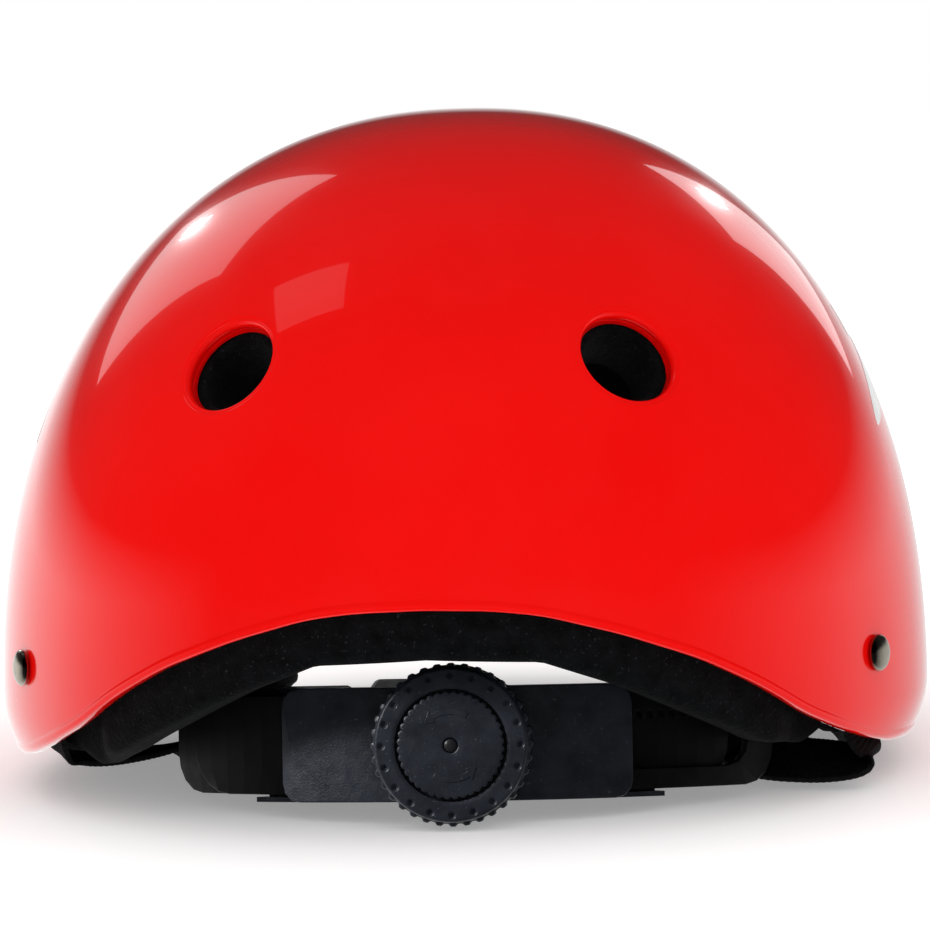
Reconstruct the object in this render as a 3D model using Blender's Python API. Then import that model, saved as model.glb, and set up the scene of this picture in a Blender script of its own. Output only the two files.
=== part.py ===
"""Water helmet: hard shell, foam liner, chin harness and rear dial adjuster.

Lengths below are millimetres. +Z is up, the rear faces -Y and the wearer's right is +X.
The two ear lands of the liner and the lowest point of the dial stand on z = 0.
"""
import math

import bmesh
import bpy
import numpy as np
from mathutils import Vector
from mathutils.geometry import delaunay_2d_cdt

MM = 0.001
SMOOTH_ANGLE = math.radians(35.0)

# shell outline
HALF_WIDTH = 107.2
CROWN_Z = 151.6
WIDEST_Z = 19.6
SIDE_POWER = 2.2
SIDE_TUCK = 0.089
TUCK_SPAN = 20.0
WIDEST_Y = -19.6
CROWN_Y = 9.3
REAR_Y = -126.8
REAR_WIDEST_Z = 43.4
REAR_POWER = 2.115
FRONT_Y = 127.0
FRONT_WIDEST_Z = 45.0
FRONT_POWER = 2.2
FRONT_PLAN_POWER = 2.12

# thicknesses and layers, measured inward from the outer face of the shell
SHELL_WALL = 3.6
LINER_OUTER = 4.25
LINER_RECESS = 9.7
LINER_INNER = 15.9
PAD_OUTER = 16.8
PAD_INNER = 21.8
EDGE_ROUND = 0.9

# rim of the shell and lip of the liner: angle from the rear, height
RIM = [(0, 49.0), (8, 48.5), (14, 47.0), (23, 42.2), (33, 35.4), (41, 28.2), (49, 19.8), (56, 14.8),
       (63, 11.2), (70, 8.8), (80, 7.4), (90, 7.0), (100, 7.2), (110, 9.5), (120, 14.5), (135, 23.5),
       (150, 31.0), (165, 34.6), (180, 35.5)]
LIP = [(0, 37.6), (14, 36.4), (24, 30.0), (35, 21.5), (45, 14.0), (55, 8.8), (60, 11.5), (75, 11.5),
       (80, 5.0), (90, 4.0), (95, 0.0), (110, 0.0), (115, 12.5), (125, 14.0), (140, 20.0), (155, 26.5),
       (180, 29.5)]
RIGHT_RAISE = [(45, 0.0), (52, 2.0), (60, 3.0), (65, 0.0)]
SHELL_SIDES = 60
SHELL_ROWS = 12
LINER_SIDES = 72
LINER_ROWS = 8

# vents: centre angle, height
VENTS = [(29.4, 100.0), (112.0, 131.0), (148.0, 96.0)]
VENT_RADIUS = 10.0
VENT_FLARE = 12.1
VENT_FLARE_DEPTH = 2.4
LINER_VENT_RADIUS = 9.2

# strap rivets: centre angle, height
RIVETS = {"rear": (63.0, 30.5), "front": (118.0, 30.0)}
RIVET_HEAD_RADIUS = 4.1
RIVET_HEAD_HEIGHT = 2.2
RIVET_SHANK_RADIUS = 1.8
RIVET_HOLE_RADIUS = 2.2
WASHER_RADIUS = 4.6
WASHER_SPAN = (6.8, 7.5)
RIVET_TAIL_SPAN = (7.8, 8.8)
RIVET_TAIL_RADIUS = 3.4

# webbing
WEB_WIDTH = 16.0
WEB_THICK = 1.6
WEB_LAYER = 5.5
CHIN_HALF_WIDTH = 7.5

# harness junctions
DIVIDER_CENTRE = (45.0, 15.0, 9.0)
DIVIDER_SIZE = (26.0, 34.0, 4.6)
DIVIDER_POCKET_DEPTH = 8.0
POCKET_GAP = 0.35
BUCKLE_HEIGHT = 8.6
BUCKLE_WIDTH = 26.0
BUCKLE_STRAP_DEPTH = 4.0
SOCKET_X = (-26.5, -1.0)
PLUG_PLATE_X = (0.0, 14.5)

# rear adjuster, built around the axis of the head band
BAND_CENTRE = (4.0, -17.0, 6.5)
BAND_TILT = math.radians(7.0)
BACK_RADII = (80.6, 82.4)
LEFT_ARM_RADII = (82.8, 84.5)
RIGHT_ARM_RADII = (84.9, 86.6)
COVER_RADII = (87.2, 89.0)
ARM_HALF_HEIGHT = 10.8
HOUSING_HALF_HEIGHT = 12.4
COVER_HALF_ANGLE = 25.5
BACK_HALF_ANGLE = 31.0
TOP_WALL_HALF_ANGLE = 24.0
BOSS_RADIUS = 17.2
SHAFT_HOLE_RADIUS = 4.6

# pinion and racks
PINION_TEETH = 12
TOOTH_PITCH = 2.7
PITCH_RADIUS = PINION_TEETH * TOOTH_PITCH / (2 * math.pi)
PINION_TIP = PITCH_RADIUS + 0.7
PINION_ROOT = PITCH_RADIUS - 0.95
RACK_TIP = PITCH_RADIUS - 0.65
RACK_ROOT = PITCH_RADIUS + 1.0
PLAIN_EDGE = 6.3
RACK_START = -16.2

# arms, along the band from the centre line
RIGHT_ARM_ENDS = (-65.5, 77.7)
LEFT_ARM_ENDS = (-64.0, 73.0)
RIGHT_ARM_SLOT = (-28.0, 69.7)
LEFT_ARM_SLOT = (-28.0, 31.0)
RIGHT_RACK_TEETH = 26
LEFT_RACK_TEETH = 14
TAB_WIDTH = 28.2
TAB_TOP = 35.0
TAB_SLOT_Z = 27.5
TAB_SLOT_HALF = 11.4
ANCHOR_RADIUS = 1.9
ANCHOR_HOLE = 2.25
ANCHOR_FLANGE = 4.4

# dial
DIAL_BACK = 90.5
DIAL_FACE = 96.6
KNURLS = 36
KNURL_TIP = 17.6
KNURL_ROOT = 16.7
CAP_SCALLOPS = 20
CAP_RADIUS = 11.6
CAP_TOP = 97.7


def clear_scene():
    for obj in list(bpy.data.objects):
        bpy.data.objects.remove(obj, do_unlink=True)
    for mesh in list(bpy.data.meshes):
        bpy.data.meshes.remove(mesh)
    for mat in list(bpy.data.materials):
        bpy.data.materials.remove(mat)


def material(name, colour, metallic, roughness):
    mat = bpy.data.materials.new(name)
    mat.use_nodes = True
    bsdf = mat.node_tree.nodes["Principled BSDF"]
    bsdf.inputs["Base Color"].default_value = (*colour, 1.0)
    bsdf.inputs["Metallic"].default_value = metallic
    bsdf.inputs["Roughness"].default_value = roughness
    mat.diffuse_color = (*colour, 1.0)
    return mat


def build(name, mat, verts, faces, origin=(0.0, 0.0, 0.0)):
    """One object from a vertex and face list, its origin on the given point."""
    base = np.asarray(origin, float)
    mesh = bpy.data.meshes.new(name)
    mesh.from_pydata([tuple((np.asarray(v, float) - base) * MM) for v in verts], [], faces)
    bm = bmesh.new()
    bm.from_mesh(mesh)
    bmesh.ops.recalc_face_normals(bm, faces=bm.faces)
    bm.to_mesh(mesh)
    bm.free()
    mesh.shade_smooth()
    mesh.set_sharp_from_angle(angle=SMOOTH_ANGLE)
    mesh.materials.append(mat)
    obj = bpy.data.objects.new(name, mesh)
    obj.location = tuple(base * MM)
    bpy.context.scene.collection.objects.link(obj)
    return obj


def cut(target, cutter):
    """Subtract a hidden cutter from an object with an exact Boolean."""
    cutter.hide_render = True
    cutter.hide_viewport = False
    cutter.display_type = "WIRE"
    mod = target.modifiers.new("cut_" + cutter.name, "BOOLEAN")
    mod.operation = "DIFFERENCE"
    mod.solver = "EXACT"
    mod.object = cutter


# ---------------------------------------------------------------- shell surface
def profile(z, widest, power, tuck):
    up = np.clip((z - widest) / (CROWN_Z - widest), 0.0, 1.0)
    down = np.clip((widest - z) / TUCK_SPAN, 0.0, None)
    return (1.0 - up ** power) ** (1.0 / power) - tuck * down ** 2


def skin(angle, phi):
    """Point on the outer face. angle: degrees from the rear, right side positive."""
    angle = np.radians(np.asarray(angle, float))
    phi = np.asarray(phi, float)
    rise = np.where(phi > 0, np.sin(np.clip(phi, 0, math.pi / 2)), phi)
    z = WIDEST_Z + (CROWN_Z - WIDEST_Z) * rise
    half = HALF_WIDTH * profile(z, WIDEST_Z, SIDE_POWER, SIDE_TUCK)
    mid = WIDEST_Y + (CROWN_Y - WIDEST_Y) * np.clip(rise, 0, 1) ** 1.5
    rear = mid - CROWN_Y + (CROWN_Y - REAR_Y) * profile(z, REAR_WIDEST_Z, REAR_POWER, 0.01)
    front = CROWN_Y - mid + (FRONT_Y - CROWN_Y) * profile(z, FRONT_WIDEST_Z, FRONT_POWER, 0.01)
    s = np.sin(angle)
    c = np.cos(angle)
    bulge = (np.abs(s) ** FRONT_PLAN_POWER + np.abs(c) ** FRONT_PLAN_POWER) ** (-1.0 / FRONT_PLAN_POWER)
    bulge = np.where(c < 0, bulge, 1.0)
    x = half * s * bulge
    y = mid - np.where(c < 0, front, rear) * c * bulge
    return np.stack([x, y, z + 0.0 * x], axis=-1)


def outward(angle, phi):
    """Unit normal of the outer face."""
    angle = np.asarray(angle, float)
    phi = np.minimum(np.asarray(phi, float), math.pi / 2 - 0.004)
    da = skin(angle + 0.2, phi) - skin(angle - 0.2, phi)
    dp = skin(angle, phi + 0.002) - skin(angle, phi - 0.002)
    n = np.cross(da, dp)
    return n / np.linalg.norm(n, axis=-1, keepdims=True)


def layer(angle, phi, depth):
    """Point at a depth below the outer face."""
    return skin(angle, phi) - outward(angle, phi) * np.asarray(depth, float)[..., None]


def phi_at(z):
    r = (np.asarray(z, float) - WIDEST_Z) / (CROWN_Z - WIDEST_Z)
    return np.where(r > 0, np.arcsin(np.clip(r, 0, 1)), r)


def line_height(table, angle):
    a = np.abs((np.asarray(angle, float) + 180.0) % 360.0 - 180.0)
    return np.interp(a, [p[0] for p in table], [p[1] for p in table])


def lip_height(angle):
    """Lower edge of the liner, a little higher on the right of the strap notch."""
    a = (np.asarray(angle, float) + 180.0) % 360.0 - 180.0
    raised = np.interp(a, [p[0] for p in RIGHT_RAISE], [p[1] for p in RIGHT_RAISE], left=0.0, right=0.0)
    return line_height(LIP, angle) + raised


def liner_outer_depth(angle, z):
    """The liner is thinner beside the ears, which leaves the channel for the straps."""
    a = np.abs((np.asarray(angle, float) + 180.0) % 360.0 - 180.0)
    side = np.clip((a - 46.0) / 6.0, 0, 1) * np.clip((136.0 - a) / 6.0, 0, 1)
    low = np.clip((56.0 - z) / 8.0, 0, 1)
    return LINER_OUTER + (LINER_RECESS - LINER_OUTER) * side * low


def dome(rings, crowns):
    """Close a stack of rings into one body: rings run outer rim -> crown, inner crown -> rim."""
    sides = len(rings[0])
    half = len(rings) // 2
    verts = [p for ring in rings for p in ring] + list(crowns)
    faces = []
    for r in range(len(rings) - 1):
        if r == half - 1:
            continue
        for i in range(sides):
            j = (i + 1) % sides
            faces.append((r * sides + i, r * sides + j, (r + 1) * sides + j, (r + 1) * sides + i))
    last = len(rings) - 1
    for i in range(sides):
        j = (i + 1) % sides
        faces.append((last * sides + i, last * sides + j, j, i))
        faces.append(((half - 1) * sides + i, (half - 1) * sides + j, len(verts) - 2))
        faces.append((half * sides + j, half * sides + i, len(verts) - 1))
    return verts, faces


def shell_body(mat):
    angles = np.arange(SHELL_SIDES) * 360.0 / SHELL_SIDES
    start = phi_at(line_height(RIM, angles))
    t = np.arange(SHELL_ROWS) / SHELL_ROWS
    rings = []
    for depth, order in ((0.0, t), (SHELL_WALL, t[::-1])):
        for k in order:
            phi = start + (math.pi / 2 - start) * k
            ring = layer(angles, phi, np.full(SHELL_SIDES, depth))
            if k == 0:
                ring[:, 2] += EDGE_ROUND
            rings.append(ring)
    edge = layer(angles, start, np.full(SHELL_SIDES, SHELL_WALL / 2))
    rings.append(edge)
    order = [len(rings) - 1] + list(range(len(rings) - 1))
    rings = [rings[i] for i in order]
    verts = [p for ring in rings for p in ring]
    n = SHELL_SIDES
    crown = [skin(0, math.pi / 2), skin(0, math.pi / 2) - np.array([0, 0, SHELL_WALL])]
    verts += crown
    faces = []
    total = len(rings)
    for r in range(total):
        if r == SHELL_ROWS:
            continue
        nxt = (r + 1) % total
        for i in range(n):
            j = (i + 1) % n
            faces.append((r * n + i, r * n + j, nxt * n + j, nxt * n + i))
    for i in range(n):
        j = (i + 1) % n
        faces.append((SHELL_ROWS * n + i, SHELL_ROWS * n + j, len(verts) - 2))
        faces.append(((SHELL_ROWS + 1) * n + j, (SHELL_ROWS + 1) * n + i, len(verts) - 1))
    return build("outer_shell", mat, verts, faces)


def liner_body(mat):
    angles = np.arange(LINER_SIDES) * 360.0 / LINER_SIDES
    lip = lip_height(angles)
    start = phi_at(lip)
    t = np.arange(LINER_ROWS) / LINER_ROWS
    rings = []
    for inner, order in ((False, t), (True, t[::-1])):
        for k in order:
            phi = start + (math.pi / 2 - start) * k
            z = skin(angles, phi)[:, 2]
            depth = np.full(LINER_SIDES, LINER_INNER) if inner else liner_outer_depth(angles, z)
            ring = layer(angles, phi, depth)
            if k == 0:
                ring[:, 2] = lip
            rings.append(ring)
    top = skin(0, math.pi / 2)
    crowns = [top - np.array([0, 0, LINER_OUTER]), top - np.array([0, 0, LINER_INNER])]
    verts, faces = dome(rings, crowns)
    return build("foam_liner", mat, verts, faces)


def patch(name, mat, angle_span, z_span, depths, counts):
    """Closed pad that follows the inside of the liner."""
    na, nz = counts
    angles = np.linspace(angle_span[0], angle_span[1], na)
    phis = np.linspace(float(phi_at(z_span[0])), float(phi_at(z_span[1])), nz)
    verts = []
    for depth in depths:
        for phi in phis:
            verts += list(layer(angles, np.full(na, phi), np.full(na, depth)))
    size = na * nz
    faces = []
    for r in range(nz - 1):
        for i in range(na - 1):
            a = r * na + i
            faces.append((a, a + 1, a + na + 1, a + na))
            faces.append((size + a, size + a + na, size + a + na + 1, size + a + 1))
    edge = [i for i in range(na)] + [r * na + na - 1 for r in range(1, nz)]
    edge += [(nz - 1) * na + i for i in range(na - 2, -1, -1)] + [r * na for r in range(nz - 2, 0, -1)]
    for i, a in enumerate(edge):
        b = edge[(i + 1) % len(edge)]
        faces.append((a, b, size + b, size + a))
    return build(name, mat, verts, faces)


def crown_pad(mat):
    sides = 24
    angles = np.arange(sides) * 360.0 / sides
    rings = []
    for depth, order in ((PAD_OUTER, (1.15, 1.3, 1.44)), (PAD_INNER, (1.44, 1.3, 1.15))):
        for phi in order:
            rings.append(layer(angles, np.full(sides, phi), np.full(sides, depth)))
    top = skin(0, math.pi / 2)
    crowns = [top - np.array([0, 0, PAD_OUTER]), top - np.array([0, 0, PAD_INNER])]
    verts, faces = dome(rings, crowns)
    return build("crown_pad", mat, verts, faces)


# ---------------------------------------------------------------- solids of revolution
def frame_from(axis):
    axis = Vector(axis).normalized()
    side = axis.orthogonal().normalized()
    return np.array(side), np.array(axis.cross(side)), np.array(axis)


def turned(name, mat, centre, axis, rows, sides, origin=None):
    """Body of revolution. rows: (height along axis, radius); a radius of 0 closes a pole."""
    u, v, w = frame_from(axis)
    centre = np.asarray(centre, float)
    verts = []
    index = []
    for height, radius in rows:
        base = centre + w * height
        if radius == 0:
            index.append([len(verts)])
            verts.append(base)
            continue
        index.append(list(range(len(verts), len(verts) + sides)))
        for i in range(sides):
            a = 2 * math.pi * i / sides
            verts.append(base + (u * math.cos(a) + v * math.sin(a)) * radius)
    faces = []
    for lower, upper in zip(index, index[1:]):
        for i in range(sides):
            j = (i + 1) % sides
            if len(lower) == 1:
                faces.append((lower[0], upper[i], upper[j]))
            elif len(upper) == 1:
                faces.append((lower[i], lower[j], upper[0]))
            else:
                faces.append((lower[i], lower[j], upper[j], upper[i]))
    return build(name, mat, verts, faces, centre if origin is None else origin)


def ring_body(name, mat, centre, axis, heights, radii, sides, origin=None):
    """Plain ring with a bore."""
    u, v, w = frame_from(axis)
    centre = np.asarray(centre, float)
    corners = [(heights[0], radii[0]), (heights[0], radii[1]),
               (heights[1], radii[1]), (heights[1], radii[0])]
    verts = []
    for i in range(sides):
        a = 2 * math.pi * i / sides
        spoke = u * math.cos(a) + v * math.sin(a)
        verts += [centre + w * h + spoke * r for h, r in corners]
    faces = []
    for i in range(sides):
        j = (i + 1) % sides
        for k in range(4):
            m = (k + 1) % 4
            faces.append((i * 4 + k, j * 4 + k, j * 4 + m, i * 4 + m))
    return build(name, mat, verts, faces, centre if origin is None else origin)


def spot(angle, z):
    """Point and outward normal on the shell at an angle and height."""
    phi = phi_at(z)
    return skin(angle, phi), outward(angle, phi)


# ---------------------------------------------------------------- webbing
def smooth(points, steps):
    """Catmull-Rom through the given rows."""
    pts = np.asarray(points, float)
    pts = np.vstack([2 * pts[0] - pts[1], pts, 2 * pts[-1] - pts[-2]])
    out = []
    for k in range(1, len(pts) - 2):
        p0, p1, p2, p3 = pts[k - 1:k + 3]
        for i in range(steps):
            t = i / steps
            out.append(0.5 * (2 * p1 + (p2 - p0) * t + (2 * p0 - 5 * p1 + 4 * p2 - p3) * t * t
                              + (3 * p1 - p0 - 3 * p2 + p3) * t ** 3))
    out.append(pts[-2])
    return np.array(out)


def ribbon(name, mat, stations, steps):
    """Flat webbing along stations of (x, y, z, width direction)."""
    rows = smooth(stations, steps)
    path = rows[:, :3]
    tangent = np.gradient(path, axis=0)
    tangent /= np.linalg.norm(tangent, axis=1, keepdims=True)
    across = rows[:, 3:6]
    across = across - tangent * np.sum(across * tangent, axis=1, keepdims=True)
    across /= np.linalg.norm(across, axis=1, keepdims=True)
    face = np.cross(tangent, across)
    verts = []
    for p, a, f in zip(path, across, face):
        for sa, sf in ((-1, -1), (1, -1), (1, 1), (-1, 1)):
            verts.append(p + a * sa * WEB_WIDTH / 2 + f * sf * WEB_THICK / 2)
    faces = [(0, 1, 2, 3)]
    for r in range(len(path) - 1):
        for k in range(4):
            m = (k + 1) % 4
            faces.append((r * 4 + k, r * 4 + m, (r + 1) * 4 + m, (r + 1) * 4 + k))
    end = (len(path) - 1) * 4
    faces.append((end + 3, end + 2, end + 1, end))
    return build(name, mat, verts, faces)


def in_channel(angle, z, depth=WEB_LAYER):
    """Webbing station between the shell and the liner, lying flat along the shell."""
    phi = phi_at(z)
    across = (skin(angle + 1.0, phi) - skin(angle - 1.0, phi)) * math.copysign(1.0, angle)
    return (*layer(angle, phi, depth), *(across / np.linalg.norm(across)))


def strap_stations(side):
    """Rear and front strap of one side, from the rivet down and in to the divider."""
    cx, cy, cz = DIVIDER_CENTRE
    dy = DIVIDER_SIZE[1] / 2
    enter = DIVIDER_POCKET_DEPTH - POCKET_GAP
    rear = [in_channel(side * 62.5, 41.0), in_channel(side * 63.0, 30.5),
            in_channel(side * 64.0, 21.0, 6.1), in_channel(side * 65.0, 14.5, 6.4)]
    if side > 0:
        rear += [(92.0, -60.2, 9.7, 0.3, 0.95, 0.0), (94.4, -60.2, 7.3, 0.2, 0.97, 0.1),
                 (92.6, -60.4, 5.5, 0.1, 0.95, 0.22), (84.0, -60.6, 5.3, 0.05, 0.88, 0.42),
                 (74.0, -58.0, 5.8, -0.3, 0.85, 0.38), (62.0, -46.0, 7.4, -0.7, 0.7, 0.0),
                 (51.0, -25.0, 8.4, -0.95, 0.3, 0.0), (cx, -9.0, cz, -1.0, 0.0, 0.0),
                 (cx, -3.5, cz, -1.0, 0.0, 0.0)]
    else:
        rear += [(-90.2, -56.6, 10.2, -0.35, 0.93, 0.0), (-87.0, -54.0, 7.9, -0.3, 0.95, 0.0),
                 (-81.5, -50.5, 7.0, -0.2, 0.98, 0.0), (-72.0, -43.0, 7.2, 0.3, 0.95, 0.0),
                 (-58.0, -28.0, 8.2, 0.7, 0.7, 0.0), (-cx, -9.0, cz, 1.0, 0.0, 0.0),
                 (-cx, -3.5, cz, 1.0, 0.0, 0.0)]
    rear.append((side * cx, cy - dy + enter, cz, side * -1.0 if side > 0 else 1.0, 0.0, 0.0))
    front = [in_channel(side * 118.5, 41.0), in_channel(side * 118.0, 30.0),
             in_channel(side * 118.0, 22.0, 5.7),
             in_channel(side * 118.0, 15.5, 6.2),
             (side * 88.6, 46.0, 10.9, side * -0.3, 0.95, 0.0),
             (side * 86.0, 45.6, 8.6, side * -0.25, 0.97, 0.0),
             (side * 81.5, 45.3, 7.4, side * -0.1, 1.0, 0.0),
             (side * 75.5, 45.2, 7.1, side * 0.0, 1.0, 0.0),
             (side * 65.0, 45.5, 7.6, side * 0.15, 0.98, 0.0),
             (side * 54.0, 42.0, 8.6, side * 0.65, 0.75, 0.0),
             (side * cx, 37.5, cz, side * 1.0, 0.0, 0.0),
             (side * cx, 33.0, cz, side * 1.0, 0.0, 0.0),
             (side * cx, cy + dy - enter, cz, side * 1.0, 0.0, 0.0)]
    return rear, front


# ---------------------------------------------------------------- boxes and plates
def box_verts(low, high):
    return [(x, y, z) for z in (low[2], high[2]) for y in (low[1], high[1]) for x in (low[0], high[0])]


BOX_FACES = [(0, 2, 3, 1), (4, 5, 7, 6), (0, 1, 5, 4), (2, 6, 7, 3), (0, 4, 6, 2), (1, 3, 7, 5)]


def box(name, mat, low, high, bevel=0.0, origin=(0.0, 0.0, 0.0)):
    obj = build(name, mat, box_verts(low, high), BOX_FACES, origin)
    if bevel:
        mod = obj.modifiers.new("edge", "BEVEL")
        mod.width = bevel * MM
        mod.segments = 2
        mod.limit_method = "ANGLE"
    return obj


def inside(poly, x, y):
    hit = False
    for (x0, y0), (x1, y1) in zip(poly, poly[1:] + poly[:1]):
        if (y0 > y) != (y1 > y) and x < (x1 - x0) * (y - y0) / (y1 - y0) + x0:
            hit = not hit
    return hit


def fill_points(outline, holes, step):
    """Grid points well inside an outline, so a bent plate follows its curve."""
    edge = [p for loop in [outline] + holes for p in loop]
    us = [p[0] for p in outline]
    vs = [p[1] for p in outline]
    out = []
    for u in np.arange(math.floor(min(us) / step) * step, max(us), step):
        for v in np.arange(math.floor(min(vs) / step) * step, max(vs), step):
            if not inside(outline, u, v) or any(inside(h, u, v) for h in holes):
                continue
            if min(math.hypot(u - a, v - b) for a, b in edge) > step * 0.45:
                out.append((u, v))
    return out


def plate(name, mat, outline, holes, place, levels, step, origin=(0.0, 0.0, 0.0)):
    """Plate of a flat outline with holes, laid through place(u, v, level) at two levels."""
    loops = [outline] + holes
    points = [p for loop in loops for p in loop]
    edges = []
    start = 0
    for loop in loops:
        edges += [(start + i, start + (i + 1) % len(loop)) for i in range(len(loop))]
        start += len(loop)
    points += fill_points(outline, holes, step)
    flat = [Vector(p) for p in points]
    coords, _, faces, _, _, _ = delaunay_2d_cdt(flat, edges, [], 0, 1e-5)
    coords = [tuple(c) for c in coords]
    kept = []
    for f in faces:
        cu = sum(coords[i][0] for i in f) / 3
        cv = sum(coords[i][1] for i in f) / 3
        if inside(outline, cu, cv) and not any(inside(h, cu, cv) for h in holes):
            kept.append(f)
    used = sorted({i for f in kept for i in f})
    slot = {old: new for new, old in enumerate(used)}
    coords = [coords[i] for i in used]
    faces = [[slot[i] for i in f] for f in kept]
    count = len(coords)
    verts = [place(u, v, level) for level in levels for u, v in coords]
    solid = []
    sides = {}
    for f in faces:
        solid.append(tuple(f))
        solid.append(tuple(count + i for i in reversed(f)))
        for a, b in zip(f, list(f[1:]) + [f[0]]):
            sides[(a, b)] = True
    for a, b in sides:
        if (b, a) not in sides:
            solid.append((b, a, count + a, count + b))
    return build(name, mat, verts, solid, origin)


def arc(cu, cv, radius, start, stop, count):
    """Arc points, angles in degrees."""
    return [(cu + radius * math.cos(math.radians(a)), cv + radius * math.sin(math.radians(a)))
            for a in np.linspace(start, stop, count)]


def spaced(points, step):
    """Split long outline edges so the plate can bend."""
    out = []
    for (u0, v0), (u1, v1) in zip(points, points[1:] + points[:1]):
        n = max(1, int(math.ceil(abs(u1 - u0) / step)))
        out += [(u0 + (u1 - u0) * i / n, v0 + (v1 - v0) * i / n) for i in range(n)]
    return out


# ---------------------------------------------------------------- adjuster
def band(u, v, radius, mid):
    """Band coordinates (arc length at the mid radius, height, radius) to the world."""
    a = u / mid
    x = radius * math.sin(a)
    y = -radius * math.cos(a)
    return tilted((x, y, v))


def tilted(p):
    """Adjuster frame to the world."""
    x, y, z = p
    c = math.cos(BAND_TILT)
    s = math.sin(BAND_TILT)
    bx, by, bz = BAND_CENTRE
    return (bx + x, by + y * c + z * s, bz - y * s + z * c)


def rack_edge(teeth):
    """Toothed edge of an arm slot, running from low u to high u."""
    points = []
    for i in range(teeth):
        u = RACK_START + (i + 0.5) * TOOTH_PITCH
        points += [(u - 0.82, RACK_ROOT), (u - 0.36, RACK_TIP), (u + 0.36, RACK_TIP), (u + 0.82, RACK_ROOT)]
    return points


def arm(name, mat, mirror, radii, ends, span, teeth):
    """One arm of the head band: free end, racked slot, and the tab that rises behind the liner."""
    low, high = ends
    h = ARM_HALF_HEIGHT
    tab = high - TAB_WIDTH
    outline = [(tab - 5.0, -h)] + arc(high - 9.0, -h + 9.0, 9.0, -90, 0, 5)
    outline += arc(high - 5.0, TAB_TOP - 5.0, 5.0, 0, 90, 4)
    outline += arc(tab + 5.0, TAB_TOP - 5.0, 5.0, 90, 180, 4) + [(tab, h + 4.0), (tab - 4.0, h)]
    outline += arc(low + h, 0.0, h, 90, 270, 11)
    slot_low, slot_high = span
    slot = arc(slot_low + PLAIN_EDGE, 0.0, PLAIN_EDGE, 180, 90, 5)
    slot += [(RACK_START - 3.0, PLAIN_EDGE)] + rack_edge(teeth)
    slot += arc(slot_high - PLAIN_EDGE, 0.0, PLAIN_EDGE, 90, -90, 7)
    slot += arc(slot_low + PLAIN_EDGE, 0.0, PLAIN_EDGE, -90, -150, 4)
    pin = high - TAB_WIDTH / 2
    guide = arc(pin - TAB_SLOT_HALF + ANCHOR_HOLE, TAB_SLOT_Z, ANCHOR_HOLE, 90, 270, 6)
    guide += arc(pin + TAB_SLOT_HALF - ANCHOR_HOLE, TAB_SLOT_Z, ANCHOR_HOLE, -90, 90, 6)
    loops = [spaced(outline, 4.5), spaced(slot, 4.5), spaced(guide, 4.5)]
    if mirror:
        loops[1] = [(u, -v) for u, v in loops[1]]
        loops = [[(-u, v) for u, v in loop] for loop in loops]
    mid = sum(radii) / 2
    return plate(name, mat, loops[0], loops[1:], lambda u, v, r: band(u, v, r, mid), radii, 5.0,
                 BAND_CENTRE)


def anchor(name, mat, side, radii, ends):
    """Plug that hangs an arm tab from the liner."""
    mid = sum(radii) / 2
    a = side * (ends[1] - TAB_WIDTH / 2) / mid
    direction = np.array([math.sin(a), -math.cos(a) * math.cos(BAND_TILT),
                          math.cos(a) * math.sin(BAND_TILT)])
    foot = np.array(tilted((0.0, 0.0, TAB_SLOT_Z)))
    inner = radii[0] - 1.7
    rows = [(inner, 0), (inner, ANCHOR_FLANGE), (radii[0] - 0.4, ANCHOR_FLANGE),
            (radii[0] - 0.4, ANCHOR_RADIUS), (radii[1] + 5.5, ANCHOR_RADIUS),
            (radii[1] + 9.5, ANCHOR_RADIUS), (radii[1] + 10.3, 1.2),
            (radii[1] + 10.3, 0)]
    return turned(name, mat, foot, direction, rows, 14), foot, direction


def channel(name, mat):
    """Back of the housing: a shallow channel behind the arms."""
    r0, r1 = BACK_RADII
    lip = COVER_RADII[0] - 0.3
    h = HOUSING_HALF_HEIGHT
    w = h - 1.1
    stops = [BACK_HALF_ANGLE, 27.5, TOP_WALL_HALF_ANGLE + 0.1, TOP_WALL_HALF_ANGLE, 20.0, 15.0, 10.0, 5.0]
    stops = [-a for a in stops] + [0.0] + stops[::-1]
    steps = len(stops) - 1
    n = 8
    verts = []
    for degrees in stops:
        top = lip if abs(degrees) <= TOP_WALL_HALF_ANGLE else r1 + 0.2
        a = math.radians(degrees)
        section = [(r0, -h), (lip, -h), (lip, -w), (r1, -w), (r1, w), (top, w), (top, h), (r0, h)]
        verts += [tilted((r * math.sin(a), -r * math.cos(a), z)) for r, z in section]
    faces = [tuple(range(n)), tuple(steps * n + i for i in reversed(range(n)))]
    for i in range(steps):
        for k in range(n):
            m = (k + 1) % n
            faces.append((i * n + k, i * n + m, (i + 1) * n + m, (i + 1) * n + k))
    return build(name, mat, verts, faces)


def cover_outline():
    """Rounded plate with a round boss above and below the dial."""
    half = math.radians(COVER_HALF_ANGLE) * sum(COVER_RADII) / 2
    h = HOUSING_HALF_HEIGHT
    r = 4.0
    meet = math.degrees(math.asin(h / BOSS_RADIUS))
    top = arc(0, 0, BOSS_RADIUS, meet, 180 - meet, 13)
    dip = math.degrees(math.asin(h / (h + 2.0)))
    bottom = arc(0, 0, h + 2.0, 180 + dip, 360 - dip, 11)
    outline = arc(half - r, -h + r, r, -90, 0, 4) + arc(half - r, h - r, r, 0, 90, 4) + top
    return outline + arc(-half + r, h - r, r, 90, 180, 4) + arc(-half + r, -h + r, r, 180, 270, 4) + bottom


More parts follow.
